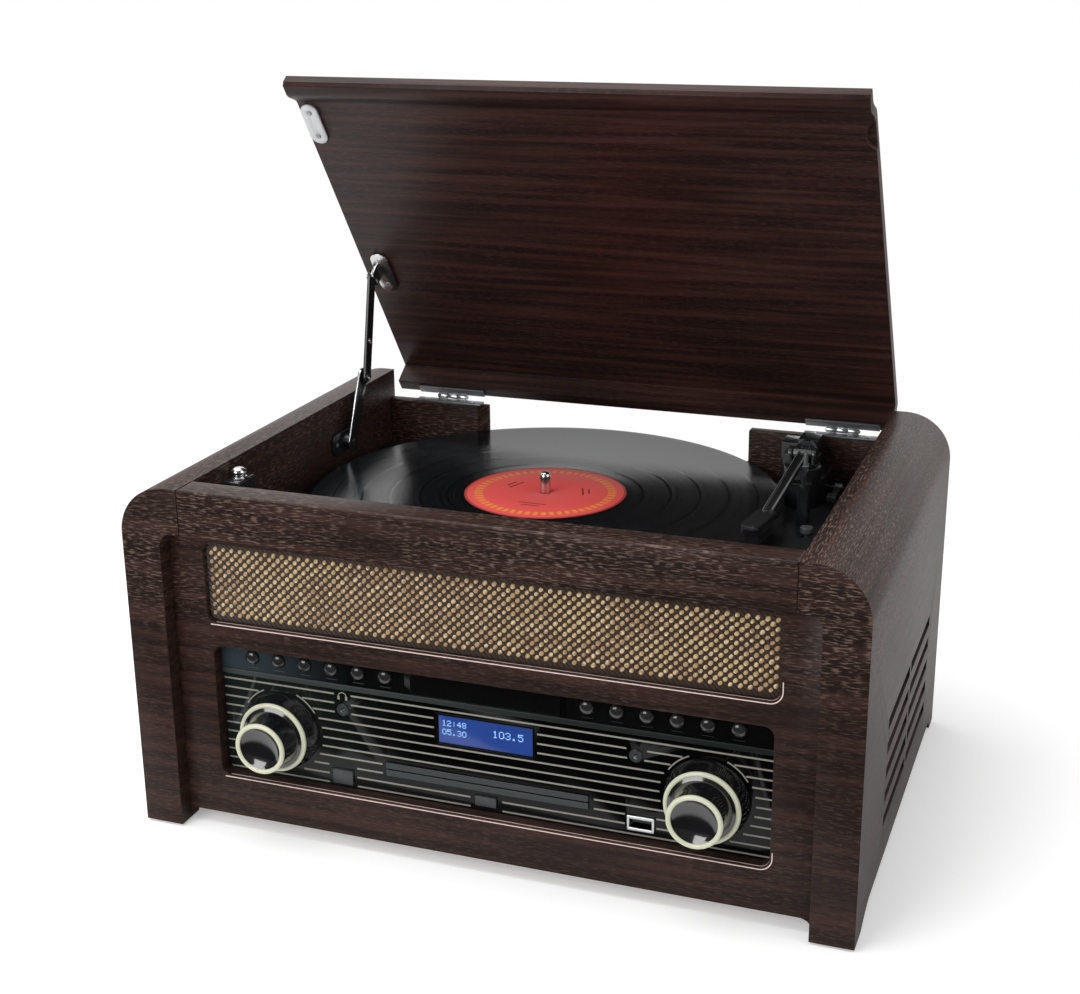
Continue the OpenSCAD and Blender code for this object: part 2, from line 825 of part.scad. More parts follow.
// Leaves screwed to the two blocks, with their pins
module cabinet_hinge_leaves() {
    third = knuckle_len / 3;
    color("#c6c8ca") placed() for (x = hinge_x) {
        difference() {
            union() {
                block([x - leaf_len / 2, back_y + 0.3, block_z],
                    [x + leaf_len / 2, cab_d + 0.2, block_z + leaf_t]);
                for (i = [-1, 1]) {
                    knuckle(x, i);
                    block([x + i * third - third / 2 + 0.1, cab_d - 1, block_z],
                        [x + i * third + third / 2 - 0.1, hinge_y, block_z + leaf_t]);
                }
            }
            block([x - third / 2 - 0.1, cab_d - 0.6, block_z - 1],
                [x + third / 2 + 0.1, hinge_y + 5, block_z + 9]);
        }
        translate([x, hinge_y, hinge_z]) rod_x(pin_r, -knuckle_len / 2 - 0.6, knuckle_len / 2 + 0.6);
    }
}

module lid_hinge_leaves() {
    third = knuckle_len / 3;
    top = lid_under - skirt_h;
    color("#c6c8ca") placed() opened() for (x = hinge_x) difference() {
        union() {
            block([x - leaf_len / 2, lid_back - skirt_t + 3, top - leaf_t],
                [x + leaf_len / 2, lid_back, top]);
            knuckle(x, 0);
            block([x - third / 2 + 0.1, lid_back - 1, top - leaf_t],
                [x + third / 2 - 0.1, hinge_y, top]);
        }
        translate([x, hinge_y, hinge_z]) rod_x(pin_r + 0.05, -knuckle_len, knuckle_len);
        for (s = [-1, 1]) block([x + s * third - third / 2 - 0.1, lid_back - 0.6, top - 9],
            [x + s * third + third / 2 + 0.1, hinge_y + 5, top + 1]);
    }
}

// ---------- lid stay ----------

// A point of the closed lid, turned to the open place
function open_point(p) = [
    hinge_y + (p[0] - hinge_y) * cos(lid_open) + (p[1] - hinge_z) * sin(lid_open),
    hinge_z - (p[0] - hinge_y) * sin(lid_open) + (p[1] - hinge_z) * cos(lid_open)];

// Where two links of given lengths meet between two pivots, on the rear side
function elbow(a, b, la, lb) =
    let (d = norm(b - a), u = (b - a) / d, t = (la * la - lb * lb + d * d) / (2 * d),
        h = sqrt(la * la - t * t))
    a + t * u + h * [-u[1], u[0]];

stay_top = open_point(stay_lid_pivot);
stay_knee = elbow(stay_top, stay_wall_pivot, stay_arm_len, stay_channel_len);
stay_w = 9;
pivot_r = 2;

module stay_lid_bracket() {
    p = stay_lid_pivot;
    color("#d0d2d4") placed() opened() {
        translate([stay_x + 8, p[0], lid_under - 1.6]) linear_extrude(1.6)
            rounded_rect(13, 36, 6.4);
        block([stay_x + 2.2, p[0] - 6, p[1] - 3], [stay_x + 4, p[0] + 6, lid_under]);
        translate([0, p[0], p[1]]) rod_x(pivot_r, stay_x - 1.6, stay_x + 3);
        translate([0, p[0], p[1]]) rod_x(3.2, stay_x - 2.4, stay_x - 1.5);
    }
}

module stay_arm() {
    color("#1a1a1b") placed() {
        along_x(stay_x - 1, stay_x + 1) difference() {
            link_outline(stay_top, stay_knee, stay_w);
            translate(stay_top) circle(pivot_r + 0.05);
        }
        translate([0, stay_knee[0], stay_knee[1]]) rod_x(3, stay_x + 1, stay_x + 2);
    }
}

module stay_channel() {
    w = stay_w + 3;
    color("#b9bbbd") placed() along_x(stay_x - 4.2, stay_x - 2.6) difference() {
        link_outline(stay_wall_pivot, stay_knee, w);
        translate(stay_wall_pivot) circle(pivot_r + 0.05);
    }
}

module stay_wall_bracket() {
    p = stay_wall_pivot;
    color("#1d1d1f") placed() {
        translate([0, p[0] - 5, p[1]]) along_x(-(well_half - fit), -(well_half - fit) + 2)
            rounded_rect(26, 15, 5);
        translate([0, p[0], p[1]]) rod_x(4.5, -(well_half - fit) + 1, stay_x - 4.5);
        translate([0, p[0], p[1]]) rod_x(pivot_r, stay_x - 6, stay_x - 2);
    }
}

// ---------- knobs and buttons ----------

// Section of a knob from its axis outwards; the second number counts forwards
module knob_section() {
    back = 0.4;
    depth = fascia_y + front_reach;
    polygon([[0, back], [knob_r + 2.6, back], [knob_r + 2.2, 3], [knob_r - 0.5, 8],
        [knob_r - 0.8, 12], [knob_front_r + 1.4, 14], [knob_front_r - 0.5, 24],
        [knob_front_r - 1, depth - 3.2], [knob_front_r - 4, depth - 2.8],
        [knob_front_r - 8, depth - 0.8], [0, depth]]);
}

// Stepped knob with two pale rings and its shaft
module knob() {
    rotate([90, 0, 0]) rotate_extrude() knob_section();
    rod_y(shaft_r, -0.5, 15);
    color("#dcd8bc") rotate([90, 0, 0]) {
        translate([0, 0, 11.4]) rotate_extrude() translate([knob_r - 0.8, 0]) circle(1.7);
        translate([0, 0, 27.6]) rotate_extrude() translate([knob_front_r - 1.2, 0]) circle(1.6);
    }
}

module volume_knob() { color("#101011") placed() translate([-knob_x, fascia_y, knob_z]) knob(); }

module tuning_knob() { color("#101011") placed() translate([knob_x, fascia_y, knob_z]) knob(); }

// Domed push button with a flange behind the fascia
module domed_button(x) {
    back = fascia_y + fascia_t;
    color("#1a1a1c") placed() translate([x, 0, button_z]) {
        rod_y(button_r, fascia_y - 1.6, back + 1);
        rod_y(button_r + 1.5, back + 0.3, back + 1.3);
        translate([0, fascia_y - 1.6, 0]) rotate([90, 0, 0])
            cylinder(r1 = button_r, r2 = button_r * 0.62, h = 1);
    }
}

// Flat push button with a flange behind the fascia
module flat_button(x, z, w, h) {
    back = fascia_y + fascia_t;
    color("#2c2d30") placed() translate([x, 0, z]) {
        along_y(fascia_y - 1.4, back + 1) square([w, h], center = true);
        along_y(back + 0.3, back + 0.9) square([w + 2, h + 2], center = true);
    }
}

module standby_button() { flat_button(standby_x, standby_z, 13, 9); }

module eject_button() { flat_button(0, eject_z, 13, 6); }

// ---------- every piece ----------

side_left();
side_right();
top_front_rail();
front_panel();
back_panel();
bottom_panel();
rubber_feet();
socket_panel();
grille_cloth();
fascia();
lcd_window();
panel_sockets();
speakers();
cd_mechanism();
circuit_boards();
transformer();
deck_plate();
motor();
drive_belt();
tonearm_base();
arm_rest();
lid_catch();
cabinet_hinge_leaves();
stay_wall_bracket();
platter();
platter_mat();
record();
record_label();
spindle();
motor_pulley();
tonearm_gimbal();
tonearm();
cartridge();
arm_clip();
cue_lever();
speed_lever();
autostop_switch();
lid();
strike_plate();
lid_hinge_leaves();
stay_lid_bracket();
stay_arm();
stay_channel();
volume_knob();
tuning_knob();
standby_button();
eject_button();
domed_button(-button_place(0));  // button_left_1
domed_button(-button_place(1));  // button_left_2
domed_button(-button_place(2));  // button_left_3
domed_button(-button_place(3));  // button_left_4
domed_button(-button_place(4));  // button_left_5
domed_button(-button_place(5));  // button_left_6
domed_button(button_place(0));  // button_right_1
domed_button(button_place(1));  // button_right_2
domed_button(button_place(2));  // button_right_3
domed_button(button_place(3));  // button_right_4
domed_button(button_place(4));  // button_right_5
domed_button(button_place(5));  // button_right_6
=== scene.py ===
import json
import math
import bmesh
import bpy
from mathutils import Matrix, Vector


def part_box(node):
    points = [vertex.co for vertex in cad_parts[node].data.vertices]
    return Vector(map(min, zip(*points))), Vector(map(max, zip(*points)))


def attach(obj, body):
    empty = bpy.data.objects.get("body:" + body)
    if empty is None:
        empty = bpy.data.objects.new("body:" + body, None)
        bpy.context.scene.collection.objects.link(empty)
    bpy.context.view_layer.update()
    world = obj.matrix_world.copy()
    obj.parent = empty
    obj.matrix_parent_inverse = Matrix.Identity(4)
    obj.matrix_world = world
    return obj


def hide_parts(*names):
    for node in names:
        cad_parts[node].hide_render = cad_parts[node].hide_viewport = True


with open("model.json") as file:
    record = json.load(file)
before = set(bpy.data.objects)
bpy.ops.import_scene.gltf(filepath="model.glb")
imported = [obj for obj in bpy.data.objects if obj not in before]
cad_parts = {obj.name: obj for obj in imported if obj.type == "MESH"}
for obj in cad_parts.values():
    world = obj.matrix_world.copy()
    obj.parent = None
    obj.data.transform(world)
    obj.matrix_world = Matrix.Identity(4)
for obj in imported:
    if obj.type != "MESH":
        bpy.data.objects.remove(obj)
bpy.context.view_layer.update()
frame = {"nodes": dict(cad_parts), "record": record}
mm = 0.001

# ---- Camera, lamps and floor ----
# The camera looks from the right and from above, as in the photograph. The music
# centre stands on a white floor that runs into a white background, under soft lamps. Its
# shiny parts see the floor in front of it as dark, which keeps the fascia black.
photo_w = 1080
focal_px = 1701.5
azimuth, elevation, roll = (math.radians(a) for a in (20.288, 18.423, -0.547))
camera_place = Vector((0.3377, -0.9551, 0.5236))
aim = Vector((-0.0235, 0.024, 0.176))

away = Vector((math.sin(azimuth) * math.cos(elevation), -math.cos(azimuth) * math.cos(elevation),
               math.sin(elevation)))
level_right = (-away).cross(Vector((0, 0, 1))).normalized()
level_up = level_right.cross(-away)
tilted_right = math.cos(roll) * level_right + math.sin(roll) * level_up
tilted_up = math.cos(roll) * level_up - math.sin(roll) * level_right

camera = bpy.data.objects.new("camera", bpy.data.cameras.new("camera"))
bpy.context.scene.collection.objects.link(camera)
camera.data.sensor_fit = "HORIZONTAL"
camera.data.sensor_width = 36
camera.data.lens = 36 * focal_px / photo_w
camera.data.clip_start = 0.05
camera.matrix_world = Matrix.Translation(camera_place) @ Matrix(
    (tilted_right, tilted_up, away)).transposed().to_4x4()
bpy.context.scene.camera = camera
bpy.context.scene.view_settings.view_transform = "Standard"


def put(tree, kind, settings=None, **sockets):
    """Adds a node. A socket is named by its label, or in0, in1 by its number; an output is linked to it."""
    made = tree.nodes.new(kind)
    for key, value in (settings or {}).items():
        setattr(made, key, value)
    for key, value in sockets.items():
        numbered = key[:2] == "in" and key[2:].isdigit()
        socket = made.inputs[int(key[2:]) if numbered else key.replace("_", " ")]
        if isinstance(value, bpy.types.NodeSocket):
            tree.links.new(value, socket)
        else:
            socket.default_value = value
    return made


def calc(tree, operation, *values, clamp=False):
    """One step of arithmetic on numbers or outputs, as a node's output."""
    sockets = {f"in{i}": v for i, v in enumerate(values)}
    return put(tree, "ShaderNodeMath", {"operation": operation, "use_clamp": clamp}, **sockets).outputs[0]


def between(tree, value, low, high):
    """0 below low, 1 above high, smooth in between."""
    return put(tree, "ShaderNodeMapRange", {"interpolation_type": "SMOOTHSTEP"}, Value=value,
               From_Min=low, From_Max=high).outputs[0]


def softbox(name, place, size, power):
    """A square lamp that faces the object."""
    lamp = bpy.data.objects.new(name, bpy.data.lights.new(name, "AREA"))
    bpy.context.scene.collection.objects.link(lamp)
    lamp.data.size = size
    lamp.data.energy = power
    lamp.location = place
    lamp.rotation_euler = (aim - Vector(place)).to_track_quat("-Z", "Y").to_euler()


softbox("lamp_above", (-0.35, -0.1, 1.55), 1.2, 15)
softbox("lamp_front", (-0.62, -1.42, 0.78), 0.95, 12)
softbox("lamp_right", (1.6, -0.4, 1.0), 1.0, 5)

world = bpy.data.worlds.new("studio")
bpy.context.scene.world = world
world.use_nodes = True
sky = world.node_tree
sky.nodes.clear()
rays = put(sky, "ShaderNodeLightPath")
heading = put(sky, "ShaderNodeSeparateXYZ", Vector=put(sky, "ShaderNodeTexCoord").outputs["Generated"])
behind = put(sky, "ShaderNodeMapRange", {"interpolation_type": "SMOOTHSTEP"}, Value=heading.outputs["Y"],
             From_Min=-0.35, From_Max=0.15, To_Min=0.1, To_Max=1.0)
mirrored = calc(sky, "MULTIPLY", rays.outputs["Is Glossy Ray"], behind.outputs[0])
through = calc(sky, "MAXIMUM", rays.outputs["Is Camera Ray"], rays.outputs["Is Transmission Ray"])
bright = calc(sky, "MAXIMUM", mirrored, through)
plain = calc(sky, "MULTIPLY", 0.5, calc(sky, "SUBTRACT", 1.0, rays.outputs["Is Glossy Ray"]))
glow = put(sky, "ShaderNodeBackground", Color=(1, 1, 1, 1), Strength=calc(sky, "MAXIMUM", bright, plain))
put(sky, "ShaderNodeOutputWorld", Surface=glow.outputs[0])

floor_material = bpy.data.materials.new("white_floor")
floor_material.use_nodes = True
tree = floor_material.node_tree
tree.nodes.clear()
rays = put(tree, "ShaderNodeLightPath")
seen, mirrored = rays.outputs["Is Camera Ray"], rays.outputs["Is Glossy Ray"]
spot = put(tree, "ShaderNodeTexCoord").outputs["Object"]
depth = put(tree, "ShaderNodeSeparateXYZ", Vector=spot).outputs["Y"]
in_front = calc(tree, "SUBTRACT", 1.0, between(tree, depth, -0.27, -0.235))
darkened = calc(tree, "MULTIPLY", mirrored, in_front)
matte_white = put(tree, "ShaderNodeBsdfDiffuse", Color=calc(tree, "MULTIPLY_ADD", darkened, -0.88, 0.9))
lift = put(tree, "ShaderNodeEmission", Color=(1, 1, 1, 1), Strength=calc(tree, "MULTIPLY", 0.29, seen))
near = put(tree, "ShaderNodeAddShader", in0=matte_white.outputs[0], in1=lift.outputs[0])
reach = put(tree, "ShaderNodeVectorMath", {"operation": "LENGTH"}, in0=spot).outputs["Value"]
far = put(tree, "ShaderNodeEmission", Color=(1, 1, 1, 1), Strength=1.0)
fade = calc(tree, "MULTIPLY", seen, between(tree, reach, 0.35, 0.95))
put(tree, "ShaderNodeOutputMaterial",
    Surface=put(tree, "ShaderNodeMixShader", in0=fade, in1=near.outputs[0], in2=far.outputs[0]).outputs[0])
bpy.ops.mesh.primitive_plane_add(size=12)
floor = bpy.context.object
floor.name = "floor"
floor.data.materials.append(floor_material)

# ---- Wooden case: two sides with the rounded arch, front rail and front panel ----
# Boards wrapped in a dark wenge film with fine pale pores and a satin lacquer. The two
# sides carry the rounded corners, and their veneer bends over them without a joint.
arch_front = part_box("top_front_rail")[0].y


def place(x, y, z):
    """A point in metres from millimetres to the right, behind the arch's front face and above the floor."""
    return Vector((x * mm, arch_front + y * mm, z * mm))


def shader_material(name, **sockets):
    """A Principled material; returns it with its tree and its shader."""
    made = bpy.data.materials.new(name)
    made.use_nodes = True
    made.node_tree.nodes.clear()
    shader = put(made.node_tree, "ShaderNodeBsdfPrincipled", **sockets)
    put(made.node_tree, "ShaderNodeOutputMaterial", Surface=shader.outputs[0])
    return made, made.node_tree, shader


def stretched_noise(tree, spot, along, across, detail=3.0):
    """Noise on the grain map, in lines per metre along and across the grain."""
    drawn = put(tree, "ShaderNodeMapping", Vector=spot, Scale=(along, across, 1.0))
    noise = put(tree, "ShaderNodeTexNoise", Vector=drawn.outputs[0], Scale=1.0, Detail=detail)
    return noise.outputs["Fac"]


def mixed(tree, share, one, other):
    """A colour between two colours."""
    made = put(tree, "ShaderNodeMix", {"data_type": "RGBA"})
    for socket, value in ((made.inputs[0], share), (made.inputs[6], one), (made.inputs[7], other)):
        if isinstance(value, bpy.types.NodeSocket):
            tree.links.new(value, socket)
        else:
            socket.default_value = value
    return made.outputs[2]


def bumped(tree, shader, height, distance, strength=1.0):
    """Gives the surface a fine relief."""
    bump = put(tree, "ShaderNodeBump", Height=height, Distance=distance, Strength=strength)
    tree.links.new(bump.outputs[0], shader.inputs["Normal"])


def veneer(name, dark, warm, pore, pore_share, roughness, few_below):
    """Dark veneer: broad streaks, fine lines and short pale pores, fewer of them low on the piece."""
    made, tree, shader = shader_material(name, Specular_IOR_Level=0.2)
    spot = put(tree, "ShaderNodeUVMap", {"uv_map": "grain"}).outputs[0]
    height = put(tree, "ShaderNodeSeparateXYZ",
                 Vector=put(tree, "ShaderNodeTexCoord").outputs["Object"]).outputs["Z"]
    streaks = stretched_noise(tree, spot, 7, 190, 4.0)
    patches = stretched_noise(tree, spot, 9, 22)
    lines = stretched_noise(tree, spot, 45, 1500)
    dashes = stretched_noise(tree, spot, 180, 1100, 2.0)
    base = mixed(tree, between(tree, streaks, 0.38, 0.68), dark, warm)
    base = mixed(tree, calc(tree, "MULTIPLY", between(tree, lines, 0.45, 0.75), 0.5), base, dark)
    many = calc(tree, "MULTIPLY_ADD", between(tree, height, few_below - 0.03, few_below + 0.03), 0.75, 0.25)
    pores = calc(tree, "MULTIPLY", between(tree, dashes, 0.50, 0.66), between(tree, patches, 0.2, 0.6))
    pores = calc(tree, "MULTIPLY", pores, many)
    colour = mixed(tree, calc(tree, "MULTIPLY", pores, pore_share), base, pore)
    tree.links.new(colour, shader.inputs["Base Color"])
    rough = calc(tree, "MULTIPLY_ADD", lines, 0.14, roughness)
    tree.links.new(rough, shader.inputs["Roughness"])
    bumped(tree, shader, calc(tree, "SUBTRACT", calc(tree, "MULTIPLY", lines, 0.5), pores), 0.06 * mm, 0.5)
    return made


def plain_mesh(piece):
    """Turns a piece with modifiers into one plain mesh."""
    evaluated = piece.evaluated_get(bpy.context.evaluated_depsgraph_get())
    mesh = bpy.data.meshes.new_from_object(evaluated)
    piece.modifiers.clear()
    piece.data = mesh
    return piece


def new_piece(name, bm, material, smooth_below=0):
    """A piece from a bmesh, at the origin, shaded smooth over edges of less than some degrees."""
    for face in bm.faces:
        face.smooth = smooth_below > 0
    mesh = bpy.data.meshes.new(name)
    bm.to_mesh(mesh)
    bm.free()
    piece = bpy.data.objects.new(name, mesh)
    bpy.context.scene.collection.objects.link(piece)
    piece.data.materials.append(material)
    if smooth_below:
        mesh.set_sharp_from_angle(angle=math.radians(smooth_below))
    return piece


def rounded_edges(piece, width, steps=3):
    """Rounds a piece's edges to a real radius."""
    for face in piece.data.polygons:
        face.use_smooth = True
    bevel = piece.modifiers.new("rounded_edges", "BEVEL")
    bevel.width = width
    bevel.segments = steps
    bevel.limit_method = "ANGLE"
    bevel.angle_limit = math.radians(30)
    bevel.harden_normals = True
    return plain_mesh(piece)


def eased(node, name, material, width, steps=3):
    """The piece a CAD solid stands for, with its edges rounded to a real radius."""
    bm = bmesh.new()
    bm.from_mesh(frame["nodes"][node].data)
    bmesh.ops.remove_doubles(bm, verts=bm.verts, dist=0.001 * mm)
    bmesh.ops.dissolve_limit(bm, angle_limit=math.radians(0.4), verts=bm.verts, edges=bm.edges)
    return rounded_edges(new_piece(name, bm, material), width, steps)


def lay_grain(piece, rule):
    """Writes the grain map: along and across the grain, in metres, from a corner's place and its face."""
    mesh = piece.data
    grain = mesh.uv_layers.new(name="grain")
    for face in mesh.polygons:
        for corner in face.loop_indices:
            spot = mesh.vertices[mesh.loops[corner].vertex_index].co
            grain.data[corner].uv = rule(spot, face.normal)


def fit_piece(piece, body, slot, *stands_for):
    """Fixes a finished piece on its body and hides the CAD parts it stands for; slot is not used."""
    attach(piece, body)
    if stands_for:
        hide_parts(*stands_for)
    return piece


def side_grain(spot, normal):
    """Lengthwise over the side and round its corner, but crosswise on the front and back faces."""
    if abs(normal.y) > 0.7:
        return spot.x, spot.z
    return spot.y + 0.7, spot.z - abs(spot.x)


def crosswise_grain(spot, normal):
    """From left to right on every face."""
    if abs(normal.x) > 0.7:
        return spot.y, spot.z
    return spot.x, spot.z - spot.y


def second_finish(piece, material, chosen):
    """Gives the faces that a rule picks by place and direction a second material."""
    piece.data.materials.append(material)
    for face in piece.data.polygons:
        if chosen(face.center, face.normal):
            face.material_index = 1
    return piece


wenge = veneer("wenge_veneer", (0.016, 0.008, 0.006, 1), (0.042, 0.018, 0.014, 1),
               (0.20, 0.13, 0.105, 1), 0.62, 0.34, 0.15)
edge_r = 1.2 * mm
for side in ("left", "right"):
    board = eased(f"side_{side}", f"case_side_{side}", wenge, edge_r)
    lay_grain(board, side_grain)
    fit_piece(board, "cabinet", "veneer", f"side_{side}")
for name, node in (("case_front_rail", "top_front_rail"), ("case_front_panel", "front_panel"),
                   ("case_back_panel", "back_panel")):
    board = eased(node, name, wenge, edge_r)
    lay_grain(board, crosswise_grain)
    fit_piece(board, "cabinet", "veneer", node)


def speckled(name, colour, other, scale, roughness, bump_height=0.0, **sockets):
    """A plain moulded or pressed surface with fine colour and height variation."""
    made, tree, shader = shader_material(name, Roughness=roughness, **sockets)
    spot = put(tree, "ShaderNodeTexCoord").outputs["Object"]
    noise = put(tree, "ShaderNodeTexNoise", Vector=spot, Scale=scale, Detail=4.0)
    tree.links.new(mixed(tree, noise.outputs["Fac"], colour, other), shader.inputs["Base Color"])
    if bump_height:
        bumped(tree, shader, noise.outputs["Fac"], bump_height)
    return made


def painted_lip_highlight(bm, half_w, low_z, rise):
    """A painted highlight over an opening's front edge, along its lower lip and up its right corner: a thin pale
    strip where light from above catches the rounded lip.
    """
    corner_r = 6
    path = [(-half_w + corner_r - 4, low_z, -90)]
    for turn in range(-90, 1, 10):
        a = math.radians(turn)
        path.append((half_w - corner_r + corner_r * math.cos(a), low_z + corner_r * (1 + math.sin(a)), turn))
    path.append((half_w, low_z + rise, 0))
    sections = []
    for x, z, turn in path:
        out_x, out_z = math.cos(math.radians(turn)), math.sin(math.radians(turn))
        sections.append([bm.verts.new(place(x + out * out_x, panel_face + y, z + out * out_z))
                         for out, y in ((1.6, -0.1), (0.2, 0.12), (-0.1, 1.6), (1.6, 1.6))])
    for low, high in zip(sections, sections[1:]):
        for i in range(4):
            bm.faces.new((low[i], low[(i + 1) % 4], high[(i + 1) % 4], high[i]))
    bm.faces.new(sections[0])
    bm.faces.new(sections[-1])
    bmesh.ops.recalc_face_normals(bm, faces=bm.faces)


panel_face = (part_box("front_panel")[0].y - arch_front) / mm
# Painted highlight: pale strips along the lower lips of the grille and fascia openings stand in for light catching
# their rounded edges.
lip_highlight_paint = speckled("lip_highlight_paint", (0.62, 0.46, 0.42, 1), (0.74, 0.58, 0.54, 1), 260, 0.35)
bm = bmesh.new()
painted_lip_highlight(bm, 172.5, 136, 12)
painted_lip_highlight(bm, 170, 36, 10)
fit_piece(new_piece("opening_lips", bm, lip_highlight_paint, 60), "cabinet", "veneer")

# ---- Bottom panel and rubber pads ----
# A sheet of raw fibreboard closes the case from below, and four moulded rubber pads
# are glued under the ends of the sides.
fibreboard = speckled("fibreboard", (0.30, 0.19, 0.11, 1), (0.20, 0.12, 0.07, 1), 900, 0.8, 0.05 * mm)
rubber = speckled("rubber", (0.012, 0.012, 0.012, 1), (0.02, 0.02, 0.02, 1), 1500, 0.65, 0.02 * mm)
fit_piece(eased("bottom_panel", "bottom_board", fibreboard, 0.5 * mm), "cabinet", "fibreboard", "bottom_panel")
fit_piece(eased("rubber_feet", "rubber_pads", rubber, 0.5 * mm), "cabinet", "rubber", "rubber_feet")

# ---- Socket panel at the rear ----
# A black moulded plate, screwed to the back panel at its corners, carries four line
# sockets with coloured insulators, a threaded aerial socket and the mains inlet.
forwards = Matrix.Rotation(math.radians(90), 4, "X")
backwards = Matrix.Rotation(math.radians(-90), 4, "X")
upwards = Matrix.Identity(4)


def turned(bm, profile, centre, facing, steps=48, ripple=None):
    """Turns a profile of (radius, height) pairs in millimetres round an axis through a centre."""
    seat = Matrix.Translation(centre) @ facing
    rings = []
    for radius, height in profile:
        ring = []
        for step in range(steps if radius else 1):
            turn = 2 * math.pi * step / steps
            r = ripple(step, radius, height) if ripple else radius
            ring.append(bm.verts.new(seat @ (Vector((r * math.cos(turn), r * math.sin(turn), height)) * mm)))
        rings.append(ring)
    faces = []
    for low, high in zip(rings, rings[1:]):
        for step in range(steps):
            after = (step + 1) % steps
            corners = (low[step % len(low)], low[after % len(low)], high[after % len(high)],
                       high[step % len(high)])
            faces.append(bm.faces.new(list(dict.fromkeys(corners))))
    bmesh.ops.recalc_face_normals(bm, faces=faces)


def cross_head(radius, height):
    """A domed screw head with a cross recess, facing up, as a hidden shape to repeat."""
    bm = bmesh.new()
    arm, half, depth, corners = 0.62 * radius, 0.15 * radius, 0.45 * height, 20
    quarter = [(arm, -half), (arm, half), (half, half)]
    outline = []
    for turn in range(4):
        c, s = math.cos(turn * math.pi / 2), math.sin(turn * math.pi / 2)
        outline += [(x * c - y * s, x * s + y * c) for x, y in quarter]

    def ring(points, z):
        return [bm.verts.new(Vector((x, y, z)) * mm) for x, y in points]

    def circle(r):
        return [(r * math.cos(2 * math.pi * i / corners), r * math.sin(2 * math.pi * i / corners))
                for i in range(corners)]

    def wall(low, high):
        for i, _ in enumerate(low):
            after = (i + 1) % len(low)
            bm.faces.new((low[i], low[after], high[after], high[i]))

    rim, crown = ring(circle(radius), 0), ring(circle(0.8 * radius), height)
    mouth, pit = ring(outline, height), ring(outline, height - depth)
    wall(rim, crown)
    wall(mouth, pit)
    bm.faces.new(pit)
    edges = [bm.edges.get((loop[i], loop[(i + 1) % len(loop)])) for loop in (crown, mouth)
             for i, _ in enumerate(loop)]
    bmesh.ops.triangle_fill(bm, edges=edges, use_beauty=True)
    bm.faces.new(list(reversed(rim)))
    bmesh.ops.recalc_face_normals(bm, faces=bm.faces)
    mesh = bpy.data.meshes.new("cross_head")
    bm.to_mesh(mesh)
    bm.free()
    return bpy.data.objects.new("cross_head", mesh)


def repeated(name, shape, spots, facing, material, seed=1):
    """One shape on every spot, facing one way and spun at random, as one plain mesh."""
    tree = bpy.data.node_groups.new("repeat_a_shape", "GeometryNodeTree")
    inputs = {}
    for label, kind in (("Spots", "NodeSocketGeometry"), ("Shape", "NodeSocketObject"),
                        ("Facing", "NodeSocketRotation"), ("Finish", "NodeSocketMaterial")):
        inputs[label] = tree.interface.new_socket(label, in_out="INPUT", socket_type=kind).identifier
    tree.interface.new_socket("Pieces", in_out="OUTPUT", socket_type="NodeSocketGeometry")
    source = put(tree, "NodeGroupInput")
    spin = put(tree, "FunctionNodeRandomValue", {"data_type": "FLOAT_VECTOR"}, in0=(0, 0, 0),
               in1=(0, 0, 2 * math.pi), Seed=seed)
    turned_shape = put(tree, "FunctionNodeRotateRotation", {"rotation_space": "LOCAL"},
                       Rotation=source.outputs["Facing"])
    as_rotation = put(tree, "FunctionNodeEulerToRotation", Euler=spin.outputs[0])
    tree.links.new(as_rotation.outputs[0], turned_shape.inputs["Rotate By"])
    shape_in = put(tree, "GeometryNodeObjectInfo", Object=source.outputs["Shape"])
    spread = put(tree, "GeometryNodeInstanceOnPoints", Points=source.outputs["Spots"],
                 Instance=shape_in.outputs["Geometry"], Rotation=turned_shape.outputs[0])
    solid = put(tree, "GeometryNodeRealizeInstances", Geometry=spread.outputs[0])
    painted = put(tree, "GeometryNodeSetMaterial", Geometry=solid.outputs[0], Material=source.outputs["Finish"])
    put(tree, "NodeGroupOutput", in0=painted.outputs[0])
    bm = bmesh.new()
    for spot in spots:
        bm.verts.new(spot)
    piece = new_piece(name, bm, material)
    modifier = piece.modifiers.new("repeat", "NODES")
    modifier.node_group = tree
    modifier[inputs["Shape"]] = shape
    modifier[inputs["Facing"]] = facing.to_euler()
    modifier[inputs["Finish"]] = material
    return plain_mesh(piece)


def strip(bm, low, high):
    """A box between two corners, in millimetres of the case."""
    a, b = place(*low), place(*high)
    seat = Matrix.Translation((a + b) / 2) @ Matrix.Diagonal((*(b - a), 1))
    bmesh.ops.create_cube(bm, size=1, matrix=seat)


black_satin = speckled("black_satin", (0.012, 0.012, 0.013, 1), (0.018, 0.018, 0.019, 1), 1800, 0.38, 0.01 * mm)
bright_metal = speckled("bright_metal", (0.75, 0.76, 0.77, 1), (0.62, 0.63, 0.64, 1), 300, 0.2,
                        Metallic=1.0)
sheet_metal = speckled("sheet_metal", (0.55, 0.56, 0.57, 1), (0.45, 0.46, 0.47, 1), 400, 0.38, Metallic=1.0)
fit_piece(eased("socket_panel", "socket_plate", black_satin, 0.4 * mm, 2), "cabinet", "black_plastic",
          "socket_panel")
plate_back = (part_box("socket_panel")[1].y - arch_front) / mm
socket_rise = 3.0
for colour_name, colour, spots in (("red", (0.5, 0.015, 0.012, 1), [(-46, 64), (-46, 80)]),
                                   ("white", (0.75, 0.75, 0.72, 1), [(-30, 64), (-30, 80)])):
    bm = bmesh.new()
    for x, z in spots:
        turned(bm, [(1.75, -0.5), (1.75, 0.25), (2.0, 0.4), (3.6, 0.4), (3.85, 0.2), (3.85, -0.5), (1.75, -0.5)],
               place(x, plate_back - socket_rise, z), backwards)
    insulator = speckled(f"{colour_name}_insulator", colour, colour, 500, 0.4)
    fit_piece(new_piece(f"socket_insulators_{colour_name}", bm, insulator, 40), "cabinet", "black_plastic")
bm = bmesh.new()
